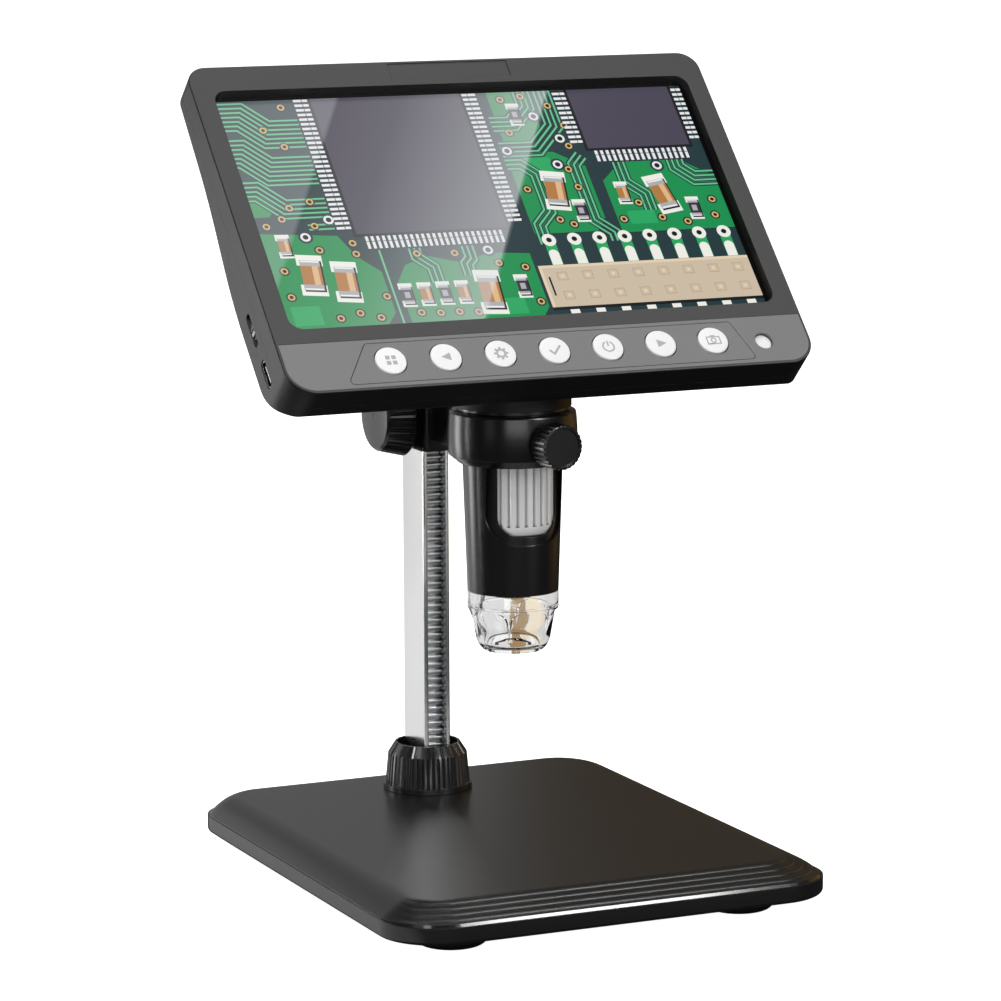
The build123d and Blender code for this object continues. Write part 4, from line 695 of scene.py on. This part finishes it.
lip_vertices = len(loops[0]) * lip_rings
crown = new_piece(
    "base_crown",
    [v.co.copy() for v in mesh_form.verts],
    [[v.index for v in face.verts] for face in mesh_form.faces],
    [finishes["base_plastic"], finishes["polished_lip"]],
    "stand",
    [int(max(v.index for v in face.verts) < lip_vertices) for face in mesh_form.faces],
)
open_edges = sum(1 for edge in mesh_form.edges if len(edge.link_faces) != 2)
print("base crown of", len(mesh_form.faces), "faces,", open_edges, "open edges")
mesh_form.free()
smooth(crown, 40)
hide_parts("base_cover")

# %% [markdown]
# ## The picture on the screen
# A microscope's screen shows something small, very large. Here it is a generic circuit board: two
# chips with rows of pins, traces, vias, small parts and a connector. An image file would do on a
# real screen, but drawing it from flat shapes keeps it sharp and editable. Each shape has an ink
# and a layer, and the layers are stacked a hair's breadth apart.

# %% Inks and flat shapes
picture_width, picture_height = 154.08, 85.92
layer_step = 0.012
trace_width, trace_pitch = 0.62, 1.7
inks = {
    "board": "#22393e", "pour": "#169150", "pour_light": "#27a862", "trace": "#63c48f",
    "chip": "#4b4656", "chip_edge": "#241f2b", "pin": "#ebebee", "pin_shade": "#8f9296",
    "gap": "#131619", "gold": "#dcb56f", "hole": "#3c0d0b", "ceramic": "#b57c42",
    "ceramic_light": "#e0b98a", "metal_end": "#aeb0b6", "pad": "#f1f1ea", "resistor": "#38303c",
    "cream": "#cfbfa8", "cream_dark": "#bfa98d", "cream_light": "#e6d2b4",
}
flat_shapes = []


def clipped(points):
    """The part of a flat outline that lies inside the picture."""
    limits = ((0, 0.0, 1), (0, picture_width, -1), (1, 0.0, 1), (1, picture_height, -1))
    for axis, limit, sign in limits:
        kept = []
        for i, here in enumerate(points):
            before = points[i - 1]
            here_in, before_in = (sign * (p[axis] - limit) >= 0 for p in (here, before))
            if here_in != before_in:
                part = (limit - before[axis]) / (here[axis] - before[axis])
                kept.append(tuple(before[k] + part * (here[k] - before[k]) for k in (0, 1)))
            if here_in:
                kept.append(here)
        points = kept
    return points


def shape(points, ink, layer):
    """Adds a flat outline in mm. The picture counts from its lower left corner."""
    flat_shapes.append((points, ink, layer))


def bar(x, y, width, height, ink, layer, turn=0.0):
    """A rectangle about its centre, turned by an angle in degrees."""
    c, s = cos(radians(turn)), sin(radians(turn))
    corners = ((-1, -1), (1, -1), (1, 1), (-1, 1))
    halves = [(a * width / 2, b * height / 2) for a, b in corners]
    shape([(x + c * a - s * b, y + s * a + c * b) for a, b in halves], ink, layer)


def disc(x, y, radius, ink, layer, sides=20):
    """A round spot."""
    turns = [2 * pi * i / sides for i in range(sides)]
    shape([(x + radius * cos(t), y + radius * sin(t)) for t in turns], ink, layer)


def mitres(points):
    """At each point of a path, the sideways step that keeps a copy 1 mm away all along."""
    path = [Vector(p) for p in points]
    steps = []
    for i, point in enumerate(path):
        ahead = (path[min(i + 1, len(path) - 1)] - point).normalized()
        behind = (point - path[max(i - 1, 0)]).normalized()
        along = (ahead + behind).normalized()
        across = Vector((-along.y, along.x))
        square = Vector((-ahead.y, ahead.x)) if ahead.length else Vector((-behind.y, behind.x))
        steps.append(across / across.dot(square))
    return steps


def stroke(points, width, ink, layer):
    """A line of even width through points, with mitred corners."""
    sides = []
    for point, step in zip(points, mitres(points)):
        left, right = (Vector(point) + step * (side * width / 2) for side in (1, -1))
        sides.append((tuple(left), tuple(right)))
    for (left_a, right_a), (left_b, right_b) in zip(sides, sides[1:]):
        shape([left_a, right_a, right_b, left_b], ink, layer)


def via(x, y, radius=1.15, ring="gold"):
    """A plated hole: a metal ring round a dark hole."""
    disc(x, y, radius * 1.45, "board", 3)
    disc(x, y, radius, ring, 4)
    disc(x, y, radius * 0.55, "hole" if ring == "gold" else "gap", 5)


def bundle(points, count, side):
    """Traces that run side by side along a path and bend together, each in a dark gap."""
    steps = mitres(points)
    for i in range(count):
        shift = i * side * trace_pitch
        path = [Vector(point) + step * shift for point, step in zip(points, steps)]
        stroke(path, trace_width * 2.4, "board", 2)
        stroke(path, trace_width, "trace", 3)


# %% [markdown]
# ### Small parts of the board
# A ceramic capacitor is a tan block between two metal ends, on two white pads. A resistor is the
# same with a dark block. A chip is a dark square with a row of pins on each side. Each is a short
# function, so the board below reads like a placement list.


# %% Small parts of the board
def passive(x, y, length, width, body, turn=90.0):
    """A two ended part on its pads, along a direction in degrees."""
    c, s = cos(radians(turn)), sin(radians(turn))
    for end in (-1, 1):
        px, py = x + end * c * length * 0.5, y + end * s * length * 0.5
        bar(px, py, length * 0.36, width * 1.3, "pad", 4, turn)
    bar(x + 0.35, y - 0.35, length * 1.04, width * 1.06, "gap", 5, turn)
    bar(x, y, length, width, "metal_end", 6, turn)
    for end in (-1, 1):
        px, py = x + end * c * length * 0.46, y + end * s * length * 0.46
        bar(px, py, length * 0.05, width * 0.9, "pad", 7, turn)
    bar(x, y, length * 0.62, width, body, 7, turn)
    if body == "ceramic":
        gleam_x, gleam_y = x + s * width * 0.22, y - c * width * 0.22
        bar(gleam_x, gleam_y, length * 0.62, width * 0.3, "ceramic_light", 8, turn)
    if body == "resistor":
        bar(x, y, length * 0.34, width * 0.5, "metal_end", 8, turn)


def pin_row(x, y, along_x, count, pitch, length, width):
    """A row of gull wing pins, along X or along Y, with a dark gap under each row's bend."""
    for i in range(count):
        shift = (i - (count - 1) / 2) * pitch
        cx, cy = (x + shift, y) if along_x else (x, y + shift)
        w, h = (width, length) if along_x else (length, width)
        bar(cx + 0.2, cy - 0.25, w * 1.1, h * 1.02, "gap", 4)
        bar(cx, cy, w, h, "pin", 5)
        bend_w, bend_h = (w, 0.35) if along_x else (0.35, h)
        bar(cx, cy, bend_w, bend_h, "pin_shade", 6)


def chip(x0, y0, x1, y1, pitch=1.8, length=5.4):
    """A square chip with a row of pins on each side."""
    across, up = x1 - x0, y1 - y0
    mx, my = (x0 + x1) / 2, (y0 + y1) / 2
    per_x, per_y = int((across - 2.4) / pitch), int((up - 2.4) / pitch)
    for y in (y0 - length / 2, y1 + length / 2):
        pin_row(mx, y, True, per_x, pitch, length, pitch * 0.52)
    for x in (x0 - length / 2, x1 + length / 2):
        pin_row(x, my, False, per_y, pitch, length, pitch * 0.52)
    bar(mx, my, across + 1.6, up + 1.6, "gap", 6)
    bar(mx, my, across + 0.5, up + 0.5, "chip_edge", 7)
    bar(mx, my, across - 0.4, up - 0.4, "chip", 8)


def connector(x, y, count, pitch, height):
    """A cream two row connector with its lower corner at a point, and its white solder tails."""
    width = count * pitch + 3.5
    for i in range(count):
        cx = x + 2.6 + (i + 0.5) * pitch
        disc(cx, y + height + 9.5, 2.3, "pad", 4)
        disc(cx, y + height + 9.5, 0.9, "gap", 5)
        bar(cx, y + height + 4.2, 3.6, 9.5, "pour_light", 3)
        bar(cx, y + height + 1.6, 3.3, 5.4, "pad", 5)
        disc(cx, y + height + 4.2, 1.65, "pad", 5)
        bar(cx, y - 1.2, 3.0, 3.0, "pad", 5)
    bar(x + width / 2 + 0.5, y + height / 2 - 0.5, width + 1.2, height + 1.2, "gap", 6)
    bar(x + width / 2, y + height / 2, width, height, "cream", 7)
    bar(x + width / 2, y + height - 0.5, width, 1.0, "cream_light", 8)
    bar(x + 0.5, y + height / 2, 1.0, height, "cream_light", 8)
    bar(x + 2.4, y + height / 2, 0.6, height * 0.45, "gap", 8)
    for row in (0.27, 0.73):
        for i in range(count):
            cx, cy = x + 2.6 + (i + 0.5) * pitch, y + height * row
            bar(cx, cy, 3.4, 3.2, "cream_dark", 8)
            bar(cx, cy, 2.7, 2.5, "cream", 9)
            disc(cx, cy, 0.62, "cream_light", 10, 10)


# %% Lay out the board
bar(picture_width / 2, picture_height / 2, picture_width, picture_height, "board", 0)
for outline in (
    [(0, 0), (30, 0), (34, 5), (34, 20), (28, 26), (24, 34), (0, 36)],
    [(38, 0), (80, 0), (83, 4), (83, 24), (70, 25), (60, 22), (50, 25), (42, 22), (38, 16)],
    [(87, 31), (108, 31), (112, 36), (112, 56), (103, 62), (90, 62), (87, 58)],
    [(116, 30), (picture_width, 30), (picture_width, 50), (144, 57), (124, 57), (116, 50)],
    [(88, 66), (96, 66), (102, 72), (102, picture_height), (88, picture_height)],
    [(0, 50), (5, 50), (8, 46), (5, 42), (0, 42)],
):
    shape(outline, "pour", 1)
for outline in (
    [(2, 2), (11, 2), (11, 9), (2, 9)], [(62, 2), (76, 2), (76, 8), (66, 8)],
    [(92, 53), (101, 53), (101, 60), (92, 60)], [(120, 33), (129, 33), (129, 38), (120, 38)],
):
    shape(outline, "pour_light", 1.5)
bundle([(0, 85), (8, 85), (15, 78), (24, 78)], 7, -1)
bundle([(0, 71), (5, 71), (12, 64), (24, 64)], 7, -1)
bundle([(0, 55), (5, 55), (12, 48), (24, 48)], 5, -1)
bundle([(16, 38.4), (24, 38.4)], 2, -1)
bundle([(35.5, 28), (35.5, 0)], 1, 1)
bundle([(45, 28), (45, 24), (49, 20), (49, 15)], 3, 1)
bundle([(62, 28), (62, 24), (60, 22), (60, 17)], 3, 1)
bundle([(86, 76), (92, 76), (97, 81), (97, picture_height)], 4, -1)
bundle([(86, 66), (97, 66), (104, 73), (104, picture_height)], 4, -1)
bundle([(86, 56), (90, 56), (93, 53), (93, 40), (88, 35), (88, 27)], 3, 1)
bundle([(113, 59), (110, 56), (110, 36), (115, 31), (115, 27)], 3, -1)
bundle([(125, 57), (125, 50), (130, 45), (130, 38)], 3, -1)
bundle([(140, 57), (140, 53), (146, 47), (picture_width, 47)], 4, 1)
chip(30, 34, 79, 97)
chip(115, 62.5, 150, 97, 1.9, 5.0)
connector(84, 3.5, 8, 8.4, 15.5)
for x, y, length, width, turn in (
    (12, 20, 11, 6.2, 84), (22, 17, 11, 6.2, 84), (99, 47, 11, 6.2, 82),
    (134, 44, 11, 5.8, 100), (66, 10.5, 12, 6.4, 86),
):
    passive(x, y, length, width, "ceramic", turn)
for x, y, body in (
    (39.5, 11, "resistor"), (45.5, 11, "ceramic"), (51.5, 11, "resistor"), (57.5, 11, "ceramic"),
    (77, 12, "resistor"), (6.5, 31, "ceramic"), (105, 39, "resistor"), (121, 45, "ceramic"),
    (143, 38, "resistor"), (95, 77, "resistor"),
):
    passive(x, y, 6.4, 3.4, body, 88)
for x, y in (
    (3.5, 12.5), (4, 22), (16.5, 4), (23, 5.5), (29, 3.5), (28, 27), (17, 29), (3, 38.5), (18, 38),
    (8.5, 41), (33, 11), (42, 4.5), (48, 4), (54, 4), (60, 3.5), (72, 21), (80, 19), (81, 6),
    (90, 48), (97, 36), (101, 34), (107, 48), (106, 55), (118, 35), (125, 41), (131, 35),
    (139, 33), (149, 35), (150, 41), (92, 83), (99, 84), (91, 70), (107, 80), (110, 72),
    (109, 64), (12, 74.5), (20, 83), (17, 68), (19, 47), (12, 45), (47, 26), (59, 25.5), (28, 31),
):
    via(x, y)
for x, y in ((14, 34), (23, 40), (88, 63), (103, 57), (136, 55), (70, 26), (107, 67), (101, 76)):
    via(x, y, 1.6, "pin")
picture = [(clipped(points), ink, layer) for points, ink, layer in flat_shapes]
picture = [row for row in picture if len(row[0]) > 2]
print(len(picture), "flat shapes in the picture")


# %% [markdown]
# ### The picture's glow
# A display gives its own light, so each ink is mostly emission. Across the glass lies a painted
# reflection: a soft diagonal sheen of glare in two pale bands, as on a protective film, which is
# mixed into the inks by their place on the screen. Object coordinates give that place, and one dot
# product turns it into a distance across the bands.


# %% Display inks
# Painted reflection: where the two pale bands of glare lie across the glass.
painted_sheen_lean, painted_sheen_reach, painted_sheen_start = 0.56, 0.09, 0.1
painted_sheen_bands = ((0.198, 0.17), (0.201, 0.01), (0.3, 0.06), (0.536, 0.42), (0.54, 0.0))


def painted_sheen_amount(tree):
    """How much painted sheen, a painted reflection, lies over a point of the screen, from 0 to 1.
    """
    place = add_node(tree, "ShaderNodeTexCoord").outputs["Object"]
    slanted = (X - face_up * painted_sheen_lean).normalized()
    middle = slanted.dot(glass_middle)
    along = add_node(
        tree, "ShaderNodeVectorMath", {0: place, 1: tuple(slanted)}, operation="DOT_PRODUCT"
    )
    across = add_node(
        tree,
        "ShaderNodeMapRange",
        {
            "Value": along.outputs["Value"],
            "From Min": middle - painted_sheen_reach,
            "From Max": middle + painted_sheen_reach,
        },
    )
    ramp = add_node(tree, "ShaderNodeValToRGB", {"Fac": across.outputs["Result"]})
    stops = ramp.color_ramp.elements
    stops[0].color, stops[1].color = (painted_sheen_start, painted_sheen_start, painted_sheen_start, 1), (0, 0, 0, 1)
    for at, value in painted_sheen_bands:
        stops.new(at).color = (value, value, value, 1)
    return ramp.outputs["Color"]


def display_ink(name, colour):
    """One colour of the lit display, under its glass, with the painted reflection of the sheen."""
    material, tree = new_material("display ink " + name)
    # Painted reflection: the sheen's pale colour is mixed into each ink.
    tint = add_node(
        tree,
        "ShaderNodeMixRGB",
        {"Fac": painted_sheen_amount(tree), "Color1": linear(colour), "Color2": linear("#e3e6ea")},
    )
    skin = add_node(
        tree,
        "ShaderNodeBsdfPrincipled",
        {
            "Base Color": linear("#050505"),
            "Roughness": 0.2,
            "Specular IOR Level": 0.3,
            "Emission Color": tint.outputs["Color"],
            "Emission Strength": 0.95,
        },
    )
    return surfaced(material, skin)


ink_names = list(inks)
display_inks = [display_ink(name.replace("_", " "), inks[name]) for name in ink_names]


def flat_piece(name, shapes, names, materials, origin, body):
    """Flat shapes laid on the face plane from an origin, as one piece that faces out."""
    points, faces, face_inks = [], [], []
    for outline, ink, layer in shapes:
        first = len(points)
        lift = face_out * ((layer + 1) * layer_step * MM)
        points += [origin + X * (x * MM) + face_up * (y * MM) + lift for x, y in outline]
        faces.append(range(first, len(points)))
        face_inks.append(names.index(ink))
    piece = new_piece(name, points, faces, materials, body, face_inks)
    turned = bmesh.new()
    turned.from_mesh(piece.data)
    bmesh.ops.reverse_faces(turned, faces=[f for f in turned.faces if f.normal.dot(face_out) < 0])
    turned.to_mesh(piece.data)
    turned.free()


corner = glass_middle - (X * picture_width + face_up * picture_height) * (MM / 2)
flat_piece("screen_picture", picture, ink_names, display_inks, corner, "head")
print("picture in", len(inks), "inks")

# %% [markdown]
# ## Marks on the keys
# Each key is pad printed with a small grey sign. The signs are general ones, such as a tick or a
# camera. A pad print is only some hundredths of a millimetre thick.

# %% Key marks
key_ink = moulded_plastic("grey pad printing ink", "#b0b0b0", 0.5, 0.3, 0.3, 0.05)


def ring(height, radius, width, layer, first=0, last=360):
    """A ring about a point above the middle, or a part of one between two angles in degrees."""
    steps = max(6, int((last - first) / 15))
    turns = [radians(first + (last - first) * i / steps) for i in range(steps + 1)]
    stroke([(radius * cos(t), height + radius * sin(t)) for t in turns], width, "mark", layer)


def menu_mark():
    """Four squares."""
    for x in (-0.95, 0.95):
        for y in (-0.95, 0.95):
            bar(x, y, 1.35, 1.35, "mark", 1)


def arrow_mark(side):
    """A triangle that points left (-1) or right (1)."""
    shape([(side * 1.7, 0), (-side * 1.3, 1.4), (-side * 1.3, -1.4)], "mark", 1)


def mode_mark():
    """A ring with eight teeth."""
    ring(0, 1.3, 0.7, 1)
    for turn in range(0, 360, 45):
        t = radians(turn)
        bar(1.95 * cos(t), 1.95 * sin(t), 0.6, 0.7, "mark", 2, turn)


def ok_mark():
    """A tick."""
    stroke([(-1.8, 0), (-0.5, -1.4), (2, 1.5)], 0.65, "mark", 1)


def power_mark():
    """An open ring with a bar."""
    ring(0, 1.75, 0.5, 1, 115, 425)
    bar(0, 1.1, 0.5, 1.9, "mark", 2)


def capture_mark():
    """A camera."""
    outline = [(-2.1, -1.4), (2.1, -1.4), (2.1, 1.1), (-2.1, 1.1), (-2.1, -1.4), (0, -1.4)]
    stroke(outline, 0.42, "mark", 1)
    ring(-0.15, 0.75, 0.4, 2)
    bar(0, 1.45, 1.5, 0.5, "mark", 2)


key_marks = {
    "menu": menu_mark,
    "left": lambda: arrow_mark(-1),
    "mode": mode_mark,
    "ok": ok_mark,
    "power": power_mark,
    "right": lambda: arrow_mark(1),
    "capture": capture_mark,
}
for key, draw in key_marks.items():
    flat_shapes.clear()
    draw()
    cap = nodes["button_" + key].data
    top = max(v.co.dot(face_out) for v in cap.vertices)
    rim = [v.co for v in cap.vertices if v.co.dot(face_out) > top - 0.01 * MM]
    centre = sum(rim, Vector()) / len(rim)
    flat_piece("key_mark_" + key, flat_shapes, ["mark"], [key_ink], centre, "key_" + key)
print(len(key_marks), "printed keys")

# %% [markdown]
# ## Cross recesses in the screw heads
# Every screw head has a cross recess, struck into it by a punch. The recess is not cut into the
# head: it is drawn as painted shade, a dark cross that stands a hair's breadth proud of the head.
# The heads are found in the construction: the largest flat face of each screw is the top of its
# head. A Geometry Nodes tree then sets one cross on each head, turned to face out and scaled to the
# head's radius.

# %% Cross recesses
stamp, stamp_inputs, heads_in = modifier_tree(
    "cross recesses",
    {
        "Arm length": "NodeSocketFloat",
        "Arm width": "NodeSocketFloat",
        "Height": "NodeSocketFloat",
        "Finish": "NodeSocketMaterial",
    },
)
cross = add_node(stamp, "GeometryNodeMeshBoolean", operation="UNION")
for first, second in (("Arm length", "Arm width"), ("Arm width", "Arm length")):
    sides = {axis: heads_in.outputs[label] for axis, label in zip("XYZ", (first, second, "Height"))}
    size = add_node(stamp, "ShaderNodeCombineXYZ", sides)
    arm = add_node(stamp, "GeometryNodeMeshCube", {"Size": size.outputs[0]})
    stamp.links.new(arm.outputs["Mesh"], cross.inputs["Mesh 2"])
facing, head_size = (
    add_node(stamp, "GeometryNodeInputNamedAttribute", {"Name": name}, data_type=kind)
    for name, kind in (("facing", "FLOAT_VECTOR"), ("size", "FLOAT"))
)
turned_out = add_node(
    stamp, "FunctionNodeAlignRotationToVector", {"Vector": facing.outputs[0]}, axis="Z"
)
placed = add_node(
    stamp,
    "GeometryNodeInstanceOnPoints",
    {
        "Points": heads_in.outputs["Geometry"],
        "Instance": cross.outputs["Mesh"],
        "Rotation": turned_out.outputs[0],
        "Scale": head_size.outputs[0],
    },
)
real = add_node(stamp, "GeometryNodeRealizeInstances", {"Geometry": placed.outputs[0]})
dressed = add_node(
    stamp,
    "GeometryNodeSetMaterial",
    {"Geometry": real.outputs[0], "Material": heads_in.outputs["Finish"]},
)
add_node(stamp, "NodeGroupOutput", {"Geometry": dressed.outputs[0]})

# The crosses' material is painted shade for the hollow of each recess.
cross_settings = {
    "Arm length": 1.15 * MM,
    "Arm width": 0.26 * MM,
    "Height": 0.03 * MM,
    "Finish": moulded_plastic("shadow in a struck recess", "#0e0e0e", 0.6, 0.2),
}


def screw_heads(node_mesh):
    """The centre, direction and radius of each screw's head: its largest flat face."""
    form = bmesh.new()
    form.from_mesh(node_mesh)
    bmesh.ops.remove_doubles(form, verts=form.verts, dist=0.001 * MM)
    heads, left = [], set(form.faces)
    while left:
        island, edge_faces = [], [left.pop()]
        while edge_faces:
            face = edge_faces.pop()
            island.append(face)
            for edge in face.edges:
                for other in edge.link_faces:
                    if other in left:
                        left.remove(other)
                        edge_faces.append(other)
        planes = {}
        for face in island:
            if face.calc_area() > 0:
                offset = round(face.normal.dot(face.calc_center_median()) / (0.05 * MM))
                key = (*(round(v, 2) + 0.0 for v in face.normal), offset)
                planes.setdefault(key, []).append(face)
        top = max(planes.values(), key=lambda faces: sum(f.calc_area() for f in faces))
        area = sum(f.calc_area() for f in top)
        centre = sum((f.calc_center_median() * f.calc_area() for f in top), Vector()) / area
        heads.append((centre, top[0].normal.copy(), (area / pi) ** 0.5))
    form.free()
    return heads


for node_name, body in (
    ("base_screws", "stand"),
    ("sleeve_screws", "carriage"),
    ("knob_screws", "pinion"),
    ("case_screws", "head"),
    ("barrel_screws", "head"),
):
    heads = sorted(screw_heads(nodes[node_name].data), key=lambda head: tuple(head[0]))
    spots = bpy.data.meshes.new("head spots")
    spots.from_pydata([centre for centre, _, _ in heads], [], [])
    directions = spots.attributes.new("facing", "FLOAT_VECTOR", "POINT")
    directions.data.foreach_set("vector", [v for _, normal, _ in heads for v in normal])
    sizes = spots.attributes.new("size", "FLOAT", "POINT")
    sizes.data.foreach_set("value", [radius / MM for _, _, radius in heads])
    holder = bpy.data.objects.new("head spots", spots)
    bpy.context.scene.collection.objects.link(holder)
    repeat = holder.modifiers.new("crosses", "NODES")
    repeat.node_group = stamp
    for name, value in cross_settings.items():
        repeat[stamp_inputs[name]] = value
    depsgraph = bpy.context.evaluated_depsgraph_get()
    made = bpy.data.meshes.new_from_object(holder.evaluated_get(depsgraph))
    bpy.data.objects.remove(holder)
    crosses = bpy.data.objects.new(node_name + "_crosses", made)
    bpy.context.scene.collection.objects.link(crosses)
    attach(crosses, body)
    print(node_name, len(heads), "crosses,", len(made.polygons), "faces")
